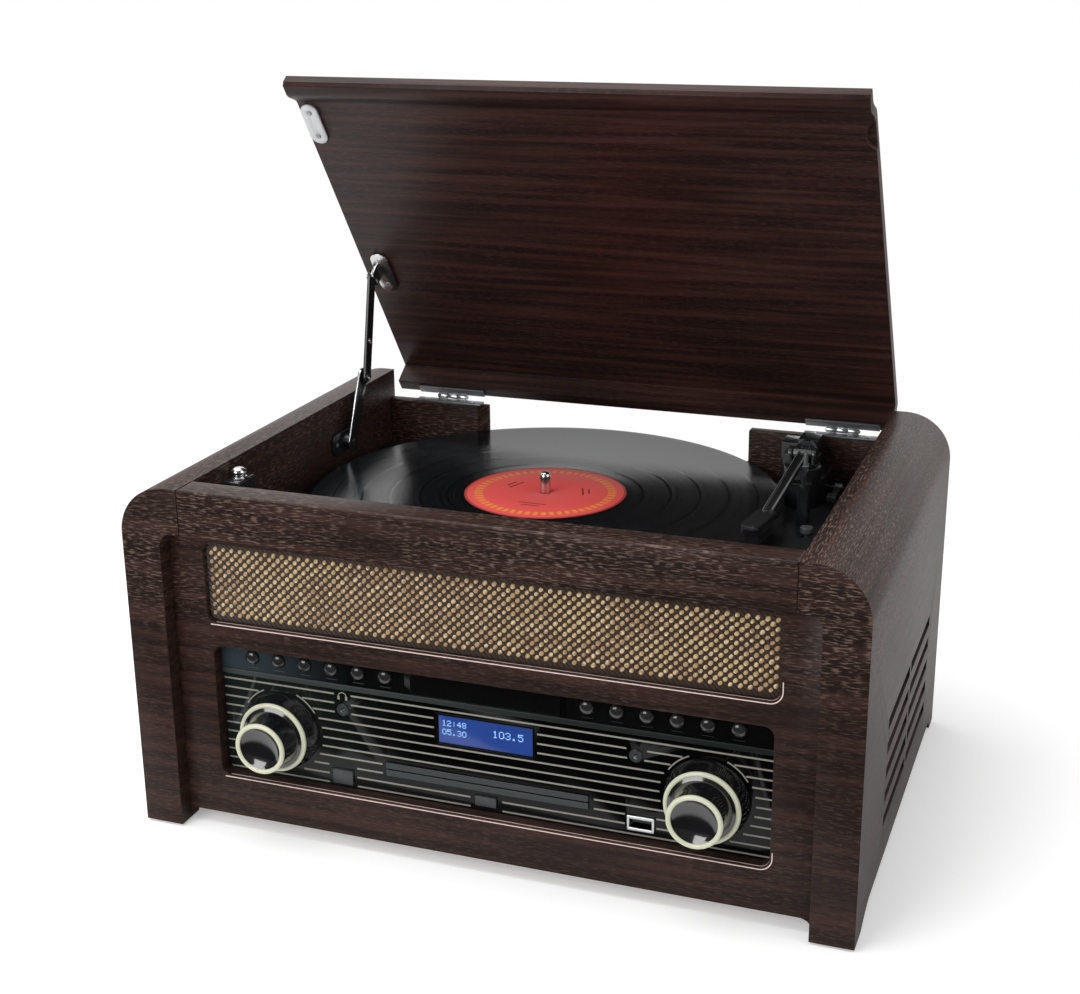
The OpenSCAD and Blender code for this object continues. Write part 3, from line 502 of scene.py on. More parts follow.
for x, z in ((-46, 64), (-46, 80), (-30, 64), (-30, 80)):
    turned(bm, [(4.2, -6), (4.35, -5.9), (4.35, -0.3), (4.1, 0.1), (3.9, 0.1), (3.9, -6), (4.2, -6)],
           place(x, plate_back - socket_rise, z), backwards)
thread = [(4.9 + 0.3 * (i % 2), -9.5 + 0.6 * i) for i in range(15)]
turned(bm, [(0, -10), (4.8, -10), *thread, (4.2, -0.6), (2.0, -0.6), (1.8, -1.6), (0, -1.6)],
       place(-2, plate_back + 0.6, 72), backwards)
fit_piece(new_piece("socket_sleeves", bm, bright_metal, 40), "cabinet", "sheet_metal")
panel_screw = cross_head(2.8, 1.2)
plate_face = plate_back - 10
fit_piece(repeated("socket_plate_screws", panel_screw,
                   [place(x, plate_face + 0.02, z) for x in (-68, 68) for z in (42, 102)],
                   backwards, sheet_metal), "cabinet", "sheet_metal")

# ---- Grille cloth ----
# Acoustic cloth, glued over a frame behind the front panel. Thick tan threads come up
# between dark brown ones in a diagonal check, as small shining beads.
pitch_x, pitch_z = 5.5 * mm, 5.4 * mm
cloth_low, cloth_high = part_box("grille_cloth")
cloth_dark, tree, shader = shader_material("dark_threads", Roughness=0.85, Sheen_Weight=0.3)
spot = put(tree, "ShaderNodeTexCoord").outputs["Object"]
weave = put(tree, "ShaderNodeTexWave", {"bands_direction": "DIAGONAL"}, Vector=spot, Scale=190.0,
            Distortion=2.0, Detail=1.0)
tree.links.new(mixed(tree, weave.outputs["Fac"], (0.016, 0.008, 0.004, 1), (0.055, 0.026, 0.010, 1)),
               shader.inputs["Base Color"])
bumped(tree, shader, weave.outputs["Fac"], 0.2 * mm)
fit_piece(eased("grille_cloth", "cloth_backing", cloth_dark, 0.2 * mm, 1), "cabinet", "cloth", "grille_cloth")

cloth_tan, tree, shader = shader_material("tan_threads", Roughness=0.5, Sheen_Weight=0.4)
spot = put(tree, "ShaderNodeTexCoord").outputs["Object"]
patches = put(tree, "ShaderNodeTexNoise", Vector=spot, Scale=32.0, Detail=2.0).outputs["Fac"]
tone = mixed(tree, between(tree, patches, 0.4, 0.62), (0.36, 0.20, 0.085, 1), (0.50, 0.33, 0.14, 1))
single = put(tree, "ShaderNodeTexNoise", Vector=spot, Scale=420.0, Detail=1.0).outputs["Fac"]
tree.links.new(mixed(tree, between(tree, single, 0.45, 0.7), tone, (0.72, 0.57, 0.34, 1)),
               shader.inputs["Base Color"])


def beaded_cloth(name, low, high, material):
    """Two shifted grids of small tilted beads, filling a rectangle that faces forwards."""
    tree = bpy.data.node_groups.new("beaded_cloth", "GeometryNodeTree")
    values = {"Pitch X": pitch_x, "Pitch Z": pitch_z, "Bead radius": 1.25 * mm, "Tilt": math.radians(38)}
    inputs = {label: tree.interface.new_socket(label, in_out="INPUT", socket_type="NodeSocketFloat").identifier
              for label in values}
    finish = tree.interface.new_socket("Finish", in_out="INPUT", socket_type="NodeSocketMaterial").identifier
    tree.interface.new_socket("Beads", in_out="OUTPUT", socket_type="NodeSocketGeometry")
    source = put(tree, "NodeGroupInput")
    columns = int((high.x - low.x - 2 * mm) / pitch_x)
    rows = int((high.z - low.z - 2 * mm) / pitch_z)
    middle = Vector(((low.x + high.x) / 2, low.y, (low.z + high.z) / 2))
    joined = put(tree, "GeometryNodeJoinGeometry")
    for shift in (-0.25, 0.25):
        wide = calc(tree, "MULTIPLY", source.outputs["Pitch X"], columns - 1)
        tall = calc(tree, "MULTIPLY", source.outputs["Pitch Z"], rows - 1)
        grid = put(tree, "GeometryNodeMeshGrid", Size_X=wide, Size_Y=tall, Vertices_X=columns, Vertices_Y=rows)
        moved = put(tree, "GeometryNodeTransform", Geometry=grid.outputs["Mesh"],
                    Translation=(middle.x + shift * pitch_x, middle.y, middle.z + shift * pitch_z),
                    Rotation=(math.radians(90), 0, 0))
        tree.links.new(moved.outputs[0], joined.inputs[0])
    bead = put(tree, "GeometryNodeMeshUVSphere", Segments=8, Rings=5, Radius=source.outputs["Bead radius"])
    flat = put(tree, "GeometryNodeTransform", Geometry=bead.outputs["Mesh"], Scale=(1.0, 0.62, 1.35))
    smooth = put(tree, "GeometryNodeSetShadeSmooth", Geometry=flat.outputs[0])
    tilt = put(tree, "ShaderNodeCombineXYZ", Y=source.outputs["Tilt"])
    size = put(tree, "FunctionNodeRandomValue", {"data_type": "FLOAT"}, Seed=4)
    size.inputs[2].default_value = 0.86
    size.inputs[3].default_value = 1.1
    spread = put(tree, "GeometryNodeInstanceOnPoints", Points=joined.outputs[0], Instance=smooth.outputs[0],
                 Rotation=tilt.outputs[0], Scale=size.outputs[1])
    solid = put(tree, "GeometryNodeRealizeInstances", Geometry=spread.outputs[0])
    painted = put(tree, "GeometryNodeSetMaterial", Geometry=solid.outputs[0], Material=source.outputs["Finish"])
    put(tree, "NodeGroupOutput", in0=painted.outputs[0])
    piece = new_piece(name, bmesh.new(), material)
    modifier = piece.modifiers.new("beads", "NODES")
    modifier.node_group = tree
    for label, value in values.items():
        modifier[inputs[label]] = value
    modifier[finish] = material
    return plain_mesh(piece)


fit_piece(beaded_cloth("cloth_beads", cloth_low, cloth_high, cloth_tan), "cabinet", "cloth")

# ---- Fascia: gloss black plate with printed lines ----
# One moulded gloss black plate behind the front panel. Eleven thin cream lines are
# printed on it, and they stop short of the knobs, the display, the slot and the sockets.
fascia_y = (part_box("front_panel")[1].y - arch_front) / mm
print_y = fascia_y - 0.06
knob_x, knob_z = 132, 67.5
button_x, button_pitch, button_z = 62, 17.4, 112.6
line_top, line_pitch, line_h, line_end, line_count = 96.6, 5.9, 1.05, 169.6, 11
clear_boxes = [(-32, 75, 32, 93.5), (-66, 48, 66, 57.5), (-10, 37.5, 10, 47), (-101.5, 36, -83, 49.5),
               (84.5, 38, 103, 51.5), (-96, 82, -85, 99), (85.5, 82, 95.5, 92.2), (85, 88, 97, 92.5)]
knob_clear_r = 27.5


def black_with_painted_sheen(name, left, right, fade_to, roughness, **sockets):
    """Black plastic with fine dust, on which a painted grey sheen, standing in for reflected light, fades out from
    left to right.
    """
    made, tree, shader = shader_material(name, **sockets)
    spot = put(tree, "ShaderNodeTexCoord").outputs["Object"]
    dust = put(tree, "ShaderNodeTexNoise", Vector=spot, Scale=55.0, Detail=5.0).outputs["Fac"]
    sideways = put(tree, "ShaderNodeSeparateXYZ", Vector=spot).outputs["X"]
    share = calc(tree, "MULTIPLY_ADD", dust, 0.12, between(tree, sideways, -0.17, fade_to), clamp=True)
    tree.links.new(mixed(tree, share, left, right), shader.inputs["Base Color"])
    tree.links.new(calc(tree, "MULTIPLY_ADD", dust, 0.08, roughness), shader.inputs["Roughness"])
    return made


# The fascia's grey tone at the left, fading to black towards the right, is a painted reflection.
black_gloss = black_with_painted_sheen("black_gloss", (0.010, 0.014, 0.012, 1), (0.0012, 0.0013, 0.0012, 1), -0.02, 0.07,
                           Specular_IOR_Level=0.3)
cream_print = speckled("cream_print", (0.22, 0.215, 0.18, 1), (0.30, 0.29, 0.245, 1), 700, 0.4)
fit_piece(eased("fascia", "fascia_plate", black_gloss, 0.25 * mm, 2), "cabinet", "gloss_black", "fascia")


def open_stretches(z):
    """The stretches of a printed line at one height that stay clear of everything on the fascia."""
    closed = [(low_x, high_x) for low_x, low_z, high_x, high_z in clear_boxes if low_z < z < high_z]
    rise = abs(z - knob_z)
    if rise < knob_clear_r:
        half = math.sqrt(knob_clear_r ** 2 - rise ** 2)
        closed += [(side * knob_x - half, side * knob_x + half) for side in (-1, 1)]
    start, stretches = -line_end, []
    for low_x, high_x in sorted(closed):
        if low_x > start + 1:
            stretches.append((start, low_x))
        start = max(start, high_x)
    if start < line_end:
        stretches.append((start, line_end))
    return stretches


bm = bmesh.new()
for row in range(line_count):
    z = line_top - line_pitch * row
    for start, end in open_stretches(z):
        strip(bm, (start, print_y, z - line_h / 2), (end, fascia_y + 0.1, z + line_h / 2))
fit_piece(new_piece("fascia_lines", bm, cream_print), "cabinet", "gloss_black")


def arc_band(bm, centre_x, centre_z, radius, width, start, end, pieces=14):
    """A thin printed band along an arc, between two angles in degrees."""
    rings = []
    for i in range(pieces + 1):
        turn = math.radians(start + (end - start) * i / pieces)
        rings.append([bm.verts.new(place(centre_x + r * math.cos(turn), y, centre_z + r * math.sin(turn)))
                      for r, y in ((radius, print_y), (radius + width, print_y),
                                   (radius + width, fascia_y + 0.1), (radius, fascia_y + 0.1))])
    for low, high in zip(rings, rings[1:]):
        for i in range(4):
            bm.faces.new((low[i], low[(i + 1) % 4], high[(i + 1) % 4], high[i]))
    bm.faces.new(rings[0])
    bm.faces.new(rings[-1])
    bmesh.ops.recalc_face_normals(bm, faces=bm.faces)


bm = bmesh.new()
for side in (-1, 1):
    for start, end in ((32, 66), (114, 148)):
        arc_band(bm, side * knob_x, knob_z, 26.2, 0.8, start, end)
fit_piece(new_piece("knob_scale_arcs", bm, cream_print), "cabinet", "gloss_black")


# ---- Button bars and centre plate ----
# Above the lines a shallow step runs across the fascia. Two dark bars hold the domed
# buttons, and a plain plate between them is bare.
charcoal = speckled("charcoal", (0.026, 0.032, 0.032, 1), (0.036, 0.043, 0.043, 1), 260, 0.3, 0.004 * mm)
# The bars' and the step's lighter tone at the left, fading towards the right, is a painted reflection.
bar_black = black_with_painted_sheen("bar_black", (0.030, 0.042, 0.050, 1), (0.0015, 0.0017, 0.0020, 1), -0.07, 0.18,
                         Specular_IOR_Level=0.3)
step_grey = black_with_painted_sheen("step_grey", (0.040, 0.050, 0.048, 1), (0.010, 0.012, 0.012, 1), 0.10, 0.3)
bm = bmesh.new()
strip(bm, (-171, fascia_y - 0.9, 100.0), (171, fascia_y + 0.05, 103.4))
fit_piece(rounded_edges(new_piece("fascia_step", bm, step_grey), 0.4 * mm, 3), "cabinet", "gloss_black")


def rectangle(low_x, low_z, high_x, high_z):
    """A rectangle's corners, seen from the front."""
    return [(low_x, low_z), (high_x, low_z), (high_x, high_z), (low_x, high_z)]


def cut_plates(name, outlines, front_y, thickness, material):
    """Thin plates that face forwards. The first loop of each is its edge, and the others are its holes."""
    bm = bmesh.new()
    for loops in outlines:
        edges = []
        for loop in loops:
            corners = [bm.verts.new(place(x, front_y, z)) for x, z in loop]
            edges += [bm.edges.new((corners[k - 1], corners[k])) for k, _ in enumerate(corners)]
        bmesh.ops.triangle_fill(bm, edges=edges, use_beauty=True, normal=(0, -1, 0))
    piece = new_piece(name, bm, material)
    depth = piece.modifiers.new("depth", "SOLIDIFY")
    depth.thickness = thickness * mm
    return plain_mesh(piece)


bar_hole_r = 4.5
bars = []
for side in (-1, 1):
    low_x, high_x = sorted((side * 50, side * 170.8))
    bars.append([rectangle(low_x, 103.5, high_x, 121.2)])
    for i in range(6):
        bars[-1].append([(side * (button_x + button_pitch * i) + bar_hole_r * math.cos(math.pi * k / 16),
                          button_z + bar_hole_r * math.sin(math.pi * k / 16)) for k in range(32)])
fit_piece(cut_plates("button_bars", bars, fascia_y - 0.15, 0.2, bar_black), "cabinet", "gloss_black")
bm = bmesh.new()
strip(bm, (-46, fascia_y - 1.3, 104), (46, fascia_y + 0.05, 120))
fit_piece(rounded_edges(new_piece("centre_plate", bm, bar_black), 0.6 * mm, 3), "cabinet", "gloss_black")
bm = bmesh.new()
for side in (-1, 1):
    for i in range(6):
        x = side * (button_x + button_pitch * i)
        strip(bm, (x - 3.4, fascia_y - 0.2, 105.6), (x + 3.4, fascia_y + 0.05, 106.0))
fit_piece(new_piece("button_marks", bm, step_grey), "cabinet", "gloss_black")

# ---- Display ----
# A clear window in the fascia, behind it a blue backlit panel. Its characters are
# small square dots, and they show plain numbers only.
dot = 0.52
digit_rows = {"0": "01110 10001 10001 10001 10001 10001 01110", "1": "00100 01100 00100 00100 00100 00100 01110",
              "2": "01110 10001 00001 00110 01000 10000 11111", "3": "01110 10001 00001 00110 00001 10001 01110",
              "4": "00010 00110 01010 10010 11111 00010 00010", "5": "11111 10000 11110 00001 00001 10001 01110",
              "8": "01110 10001 10001 01110 10001 10001 01110", ":": "00000 00100 00100 00000 00100 00100 00000",
              ".": "00000 00000 00000 00000 00000 01100 01100", " ": "00000"}
display_blue, tree, shader = shader_material("display_blue", Roughness=0.12, Emission_Strength=0.35)
spot = put(tree, "ShaderNodeTexCoord").outputs["Object"]
panel = put(tree, "ShaderNodeTexNoise", Vector=spot, Scale=45.0, Detail=1.0).outputs["Fac"]
lit = mixed(tree, panel, (0.010, 0.030, 0.16, 1), (0.018, 0.050, 0.22, 1))
tree.links.new(lit, shader.inputs["Base Color"])
tree.links.new(lit, shader.inputs["Emission Color"])
dot_glow, tree, shader = shader_material("display_dots", Roughness=0.4, Emission_Strength=0.55)
spot = put(tree, "ShaderNodeTexCoord").outputs["Object"]
flicker = put(tree, "ShaderNodeTexNoise", Vector=spot, Scale=300.0).outputs["Fac"]
lit = mixed(tree, flicker, (0.16, 0.36, 0.70, 1), (0.30, 0.52, 0.85, 1))
tree.links.new(lit, shader.inputs["Base Color"])
tree.links.new(lit, shader.inputs["Emission Color"])
window = eased("lcd_window", "display_panel", display_blue, 0.15 * mm, 2)
fit_piece(window, "cabinet", "display", "lcd_window")
window_front = (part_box("lcd_window")[0].y - arch_front) / mm


def dot_text(text, left, top, size):
    """The spots of a line of dotted characters, in millimetres from its upper left corner."""
    spots = []
    for place_in_line, character in enumerate(text):
        for row, bits in enumerate(digit_rows[character].split()):
            for column, bit in enumerate(bits):
                if bit == "1":
                    x = left + (place_in_line * 6 + column) * size
                    spots.append(place(x, window_front - 0.04, top - row * size))
    return spots


bm = bmesh.new()
for text, left, top, size in (("12:48", -26.5, 90.2, dot), ("05.30", -26.5, 84.6, dot),
                              ("103.5", 5.0, 88.2, 1.25 * dot)):
    for spot in dot_text(text, left, top, size):
        bmesh.ops.create_cube(bm, size=0.82 * size * mm, matrix=Matrix.Translation(spot))
fit_piece(new_piece("display_characters", bm, dot_glow), "cabinet", "display")
rim = cut_plates("display_frame", [[rectangle(-30.6, 74.2, 30.6, 94.6), rectangle(-29.6, 75.2, 29.6, 93.6)]],
                 fascia_y - 0.35, 0.45, black_gloss)
fit_piece(rounded_edges(rim, 0.15 * mm, 2), "cabinet", "gloss_black")

# ---- Disc slot, sockets and their frames ----
# Two raised charcoal lips line the disc slot. The two jacks have rings of the same
# plastic, and the USB socket is a folded steel shell.
slot_z, slot_half_w = 53.2, 63
bm = bmesh.new()
for low_z, high_z in ((slot_z + 0.4, slot_z + 4.25), (slot_z - 4.25, slot_z - 0.4)):
    strip(bm, (-slot_half_w, fascia_y - 1.5, low_z), (slot_half_w, fascia_y - 0.9, high_z))
fit_piece(rounded_edges(new_piece("slot_lips", bm, charcoal), 0.25 * mm, 2), "cabinet", "gloss_black")
fit_piece(eased("panel_sockets", "front_sockets", bright_metal, 0.2 * mm, 2), "cabinet", "sheet_metal",
          "panel_sockets")
bm = bmesh.new()
for x in (-90.5, 90.5):
    turned(bm, [(1.9, -1), (1.9, 0.7), (2.1, 0.9), (3.3, 0.9), (3.9, 0.2), (3.9, -1), (1.9, -1)],
           place(x, fascia_y, 86.8), forwards, 40)
fit_piece(new_piece("jack_rings", bm, charcoal, 40), "cabinet", "gloss_black")
usb_x, usb_z, usb_half_w, usb_half_h = 94, 45, 7.6, 4.1
bm = bmesh.new()
for side in (-1, 1):
    strip(bm, (usb_x - usb_half_w - 0.6, fascia_y - 1.5, usb_z + side * 3.7 - 1.05),
          (usb_x + usb_half_w + 0.6, fascia_y + 0.1, usb_z + side * 3.7 + 1.05))
    strip(bm, (usb_x + side * 7.3 - 0.9, fascia_y - 1.45, usb_z - usb_half_h - 0.3),
          (usb_x + side * 7.3 + 0.9, fascia_y + 0.1, usb_z + usb_half_h + 0.3))
fit_piece(rounded_edges(new_piece("usb_frame", bm, bright_metal), 0.6 * mm, 4), "cabinet", "sheet_metal")
bm = bmesh.new()
strip(bm, (usb_x - 5.6, fascia_y + 0.8, usb_z + 0.2), (usb_x + 5.6, fascia_y + 14, usb_z + 1.9))
fit_piece(new_piece("usb_tongue", bm, black_satin), "cabinet", "black_plastic")
bm = bmesh.new()
mark_x, mark_z = -90.5, 95.4
arc_band(bm, mark_x, mark_z, 2.3, 0.55, 0, 180, 10)
for side in (-1, 1):
    strip(bm, (mark_x + side * 2.5 - 0.7, print_y, mark_z - 2.2),
          (mark_x + side * 2.5 + 0.7, fascia_y + 0.1, mark_z + 0.2))
fit_piece(new_piece("headphone_mark", bm, cream_print), "cabinet", "gloss_black")

# ---- The two large knobs ----
# Each knob is a stepped gloss black moulding: a finely serrated skirt, a cone and a
# hollow face. Two cream rings are pressed on, and its shaft turns in an encoder.
serrations = 120
knob_profile = [(0, 0.4), (24.4, 0.4), (24.6, 0.8), (24.4, 2.6), (23.6, 4.6), (22.3, 7.6), (21.9, 9.6),
                (21.4, 10.4), (20.6, 12.2), (19.0, 12.9), (17.6, 13.6), (16.4, 16.5), (15.6, 20.5),
                (15.2, 25.4), (15.0, 27.2), (13.9, 28.1), (13.3, 28.0), (12.2, 27.1),
                (10.2, 26.0), (7.4, 25.0), (4.0, 24.35), (0, 24.15)]
cream_ring = speckled("cream_ring", (0.60, 0.60, 0.44, 1), (0.67, 0.66, 0.50, 1), 120, 0.3,
                      Coat_Weight=0.4, Coat_Roughness=0.15, Subsurface_Weight=0.05)
knob_gloss = speckled("knob_gloss", (0.004, 0.004, 0.005, 1), (0.008, 0.008, 0.009, 1), 90, 0.14,
                      Specular_IOR_Level=0.9, Coat_Weight=0.9, Coat_Roughness=0.05)


def serrated(step, radius, height):
    """Fine ribs on the skirt behind the large ring."""
    on_skirt = 0.8 < height < 9.7 and radius > 20
    return radius - (0.45 if step % 2 and on_skirt else 0.0)


def ring_section(radius, height, r_wide, r_deep, corners=12):
    """The closed outline of a rounded ring."""
    turns = [2 * math.pi * i / corners for i in range(corners)]
    return [(radius + r_wide * math.cos(t), height + r_deep * math.sin(t)) for t in turns + turns[:1]]


for name, side in (("volume_knob", -1), ("tuning_knob", 1)):
    centre = place(side * knob_x, fascia_y, knob_z)
    bm = bmesh.new()
    turned(bm, knob_profile, centre, forwards, 2 * serrations, serrated)
    turned(bm, [(0, -14.5), (2.9, -14.5), (3.0, -14.2), (3.0, 0.6), (0, 0.6)], centre, forwards, 32)
    fit_piece(new_piece(name + "_body", bm, knob_gloss, 32), name, "knob_plastic", name)
    bm = bmesh.new()
    turned(bm, ring_section(20.5, 11.6, 1.6, 1.55), centre, forwards, 96)
    turned(bm, ring_section(14.6, 27.6, 1.5, 1.5), centre, forwards, 96)
    fit_piece(new_piece(name + "_rings", bm, cream_ring, 60), name, "knob_plastic")

# ---- Push buttons ----
# Twelve small domed buttons in polished black, a flat power button and a flat eject
# button in grey, all pushed from behind by short springs on the front board.
button_gloss = speckled("button_gloss", (0.016, 0.016, 0.017, 1), (0.024, 0.024, 0.025, 1), 90, 0.13,
                        Coat_Weight=0.6, Coat_Roughness=0.04)
grey_button = speckled("grey_button", (0.045, 0.048, 0.050, 1), (0.06, 0.063, 0.065, 1), 300, 0.35, 0.01 * mm)
dome = [(0, -4.0), (5.7, -4.0), (5.7, -3.4), (4.25, -3.3), (4.25, 1.2), (4.1, 1.75), (3.5, 2.35), (2.4, 2.85),
        (1.2, 3.1), (0, 3.18)]
for group, side in (("left", -1), ("right", 1)):
    for i in range(6):
        bm = bmesh.new()
        turned(bm, dome, place(side * (button_x + button_pitch * i), fascia_y, button_z), forwards, 32)
        node = f"button_{group}_{i + 1}"
        fit_piece(new_piece(f"domed_{node}", bm, button_gloss, 35), node, "button_plastic", node)
for node in ("standby_button", "eject_button"):
    fit_piece(eased(node, f"flat_{node}", grey_button, 0.5 * mm, 3), node, "button_plastic", node)

# ---- Inside the case ----
# Two flat loudspeakers, the disc loader, the circuit boards and the transformer. They
# hardly show, but light falls on them through the vents.
board_green = speckled("solder_mask", (0.010, 0.09, 0.035, 1), (0.016, 0.13, 0.05, 1), 700, 0.35)
varnished_iron = speckled("varnished_iron", (0.09, 0.075, 0.06, 1), (0.06, 0.05, 0.045, 1), 500, 0.55, 0.05 * mm)
for node, material, slot in (
        ("speakers", sheet_metal, "sheet_metal"), ("cd_mechanism", sheet_metal, "sheet_metal"),
        ("circuit_boards", board_green, "board_green"), ("motor", sheet_metal, "sheet_metal"),
        ("transformer", varnished_iron, "iron_core"), ("drive_belt", rubber, "rubber")):
    fit_piece(eased(node, f"{node}_inside", material, 0.3 * mm, 2), "cabinet", slot, node)
fit_piece(eased("motor_pulley", "motor_pulley_turned", sheet_metal, 0.2 * mm, 2), "motor_pulley", "sheet_metal",
          "motor_pulley")

# ---- Record deck ----
# A sheet of black textured plastic, screwed down inside the case. The platter is
# pressed metal, painted black, with a ribbed rubber mat.
deck_black = speckled("deck_black", (0.012, 0.013, 0.015, 1), (0.022, 0.024, 0.027, 1), 2300, 0.34, 0.03 * mm)
fit_piece(eased("deck_plate", "deck_sheet", deck_black, 0.3 * mm, 2), "cabinet", "black_plastic", "deck_plate")
fit_piece(eased("platter", "platter_pressing", deck_black, 0.3 * mm, 2), "platter", "black_plastic", "platter")
disc_low, disc_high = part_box("record")
disc_centre = Vector(((disc_low.x + disc_high.x) / 2, (disc_low.y + disc_high.y) / 2, disc_low.z))
mat_low, mat_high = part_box("platter_mat")
mat_r, mat_t = (mat_high.x - mat_low.x) / 2 / mm, (mat_high.z - mat_low.z) / mm
mat_centre = Vector((disc_centre.x, disc_centre.y, mat_low.z))
ribs = []
for i in range(14):
    r = mat_r - 3 - i * 3.6
    ribs += [(r, mat_t - 0.6), (r - 0.4, mat_t - 0.05), (r - 1.6, mat_t - 0.05), (r - 2.0, mat_t - 0.6)]
bm = bmesh.new()
turned(bm, [(2.7, 0), (mat_r, 0), (mat_r, mat_t - 0.8), (mat_r - 0.4, mat_t - 0.6), *ribs,
            (2.7, mat_t - 0.6), (2.7, 0)], mat_centre, upwards, 96)
fit_piece(new_piece("ribbed_mat", bm, rubber, 35), "platter", "rubber", "platter_mat")

# ---- Record and label ----
# A pressed vinyl record with fine grooves in five bands, smooth gaps between them and a
# raised bead round its edge. Its paper label has a plain print of rings and bars.
record_r = (disc_high.x - disc_low.x) / 2 / mm
label_r = 52
record_t = 1.8
vinyl, tree, shader = shader_material("vinyl", Specular_IOR_Level=0.45)
spot = put(tree, "ShaderNodeTexCoord").outputs["Object"]
centred = put(tree, "ShaderNodeMapping", Vector=spot, Location=(-disc_centre.x, -disc_centre.y, 0)).outputs[0]
flat = put(tree, "ShaderNodeVectorMath", {"operation": "MULTIPLY"}, in0=centred, in1=(1, 1, 0)).outputs[0]
radius = put(tree, "ShaderNodeVectorMath", {"operation": "LENGTH"}, in0=flat).outputs["Value"]
groove = calc(tree, "SINE", calc(tree, "MULTIPLY", radius, 2 * math.pi / (0.75 * mm)))
ripple_tone = calc(tree, "SINE", calc(tree, "MULTIPLY", radius, 2 * math.pi / (5.3 * mm)))
band = calc(tree, "PINGPONG", calc(tree, "SUBTRACT", radius, 62 * mm), 9.2 * mm)
in_band = between(tree, band, 0.35 * mm, 0.8 * mm)
loudness = put(tree, "ShaderNodeTexNoise", {"noise_dimensions": "1D"}, W=radius, Scale=420.0,
               Detail=3.0).outputs["Fac"]
tint = mixed(tree, between(tree, loudness, 0.35, 0.65), (0.002, 0.0035, 0.004, 1), (0.005, 0.008, 0.010, 1))
tree.links.new(tint, shader.inputs["Base Color"])
rough = calc(tree, "MULTIPLY_ADD", in_band, 0.07, calc(tree, "MULTIPLY_ADD", loudness, 0.06, 0.06))
tree.links.new(rough, shader.inputs["Roughness"])
depth = calc(tree, "MULTIPLY", in_band, calc(tree, "MULTIPLY_ADD", ripple_tone, 0.25, groove))
bumped(tree, shader, depth, 0.008 * mm, 0.7)
bm = bmesh.new()
turned(bm, [(3.65, 0.1), (3.75, 0), (label_r, 0), (label_r + 1, 0.25), (record_r - 4, 0.25), (record_r - 2.2, 0),
            (record_r - 0.6, 0.15), (record_r, 0.9), (record_r - 0.6, 1.65), (record_r - 2.2, record_t),
            (record_r - 4.5, 1.5), (label_r + 9, 1.5), (label_r + 4, 1.62), (label_r + 1, 1.78), (3.75, record_t),
            (3.65, 1.7), (3.65, 0.1)], disc_centre, upwards, 192)
fit_piece(new_piece("vinyl_record", bm, vinyl, 40), "platter", "vinyl", "record")

label_paper, tree, shader = shader_material("label_paper", Roughness=0.55, Specular_IOR_Level=0.3)
spot = put(tree, "ShaderNodeTexCoord").outputs["Object"]
centred = put(tree, "ShaderNodeMapping", Vector=spot, Location=(-disc_centre.x, -disc_centre.y, 0)).outputs[0]
flat = put(tree, "ShaderNodeVectorMath", {"operation": "MULTIPLY"}, in0=centred, in1=(1, 1, 0)).outputs[0]
radius = put(tree, "ShaderNodeVectorMath", {"operation": "LENGTH"}, in0=flat).outputs["Value"]
fibres = put(tree, "ShaderNodeTexNoise", Vector=spot, Scale=900.0, Detail=3.0).outputs["Fac"]
coral = mixed(tree, fibres, (0.72, 0.075, 0.070, 1), (0.80, 0.105, 0.095, 1))
axes = put(tree, "ShaderNodeSeparateXYZ", Vector=flat)
bearing = calc(tree, "ARCTAN2", axes.outputs["Y"], axes.outputs["X"])
dashes = between(tree, calc(tree, "SINE", calc(tree, "MULTIPLY", bearing, 54.0)), -0.5, 0.1)
ring_share = calc(tree, "SUBTRACT", between(tree, radius, 40 * mm, 40.3 * mm),
                  between(tree, radius, 45.4 * mm, 45.7 * mm))
printed = mixed(tree, calc(tree, "MULTIPLY", ring_share, dashes), coral, (0.80, 0.27, 0.045, 1))
edge_share = between(tree, radius, 50.2 * mm, 50.5 * mm)
tree.links.new(mixed(tree, edge_share, printed, (0.36, 0.035, 0.025, 1)), shader.inputs["Base Color"])
bumped(tree, shader, fibres, 0.02 * mm)
label_centre = Vector((disc_centre.x, disc_centre.y, disc_centre.z + record_t * mm))
bm = bmesh.new()
turned(bm, [(3.65, 0), (label_r - 0.2, 0), (label_r, 0.1), (label_r - 0.2, 0.25), (3.8, 0.28),
            (3.65, 0.2), (3.65, 0)], label_centre, upwards, 96)
fit_piece(new_piece("paper_label", bm, label_paper, 40), "platter", "label_paper", "record_label")
dark_print = speckled("dark_print", (0.10, 0.02, 0.012, 1), (0.14, 0.03, 0.02, 1), 800, 0.6)
bm = bmesh.new()
for turn_deg, distance, length in ((20, 24, 14), (20, 28, 9), (160, 24, 14), (160, 28, 9),
                                   (270, 24, 18), (270, 28, 12)):
    seat = Matrix.Translation(label_centre) @ Matrix.Rotation(math.radians(turn_deg - 90), 4, "Z") @ \
        Matrix.Translation(Vector((0, distance, 0.27)) * mm) @ \
        Matrix.Diagonal((length * mm, 1.1 * mm, 0.06 * mm, 1))
    bmesh.ops.create_cube(bm, size=1, matrix=seat)
fit_piece(new_piece("label_bars", bm, dark_print), "platter", "label_paper")

# ---- Spindle ----
# A turned and polished steel pin with a rounded tip. It is pressed into the platter and
# turns in the deck's bush.
bm = bmesh.new()
turned(bm, [(0, -30.2), (2.3, -30.2), (2.5, -29.8), (2.5, 2.1), (3.3, 2.1), (3.55, 2.4), (3.55, 12.8), (3.3, 13.6),
            (2.6, 14.8), (1.6, 15.6), (0, 15.8)], disc_centre, upwards, 40)
fit_piece(new_piece("polished_spindle", bm, bright_metal, 35), "platter", "bright_metal", "spindle")

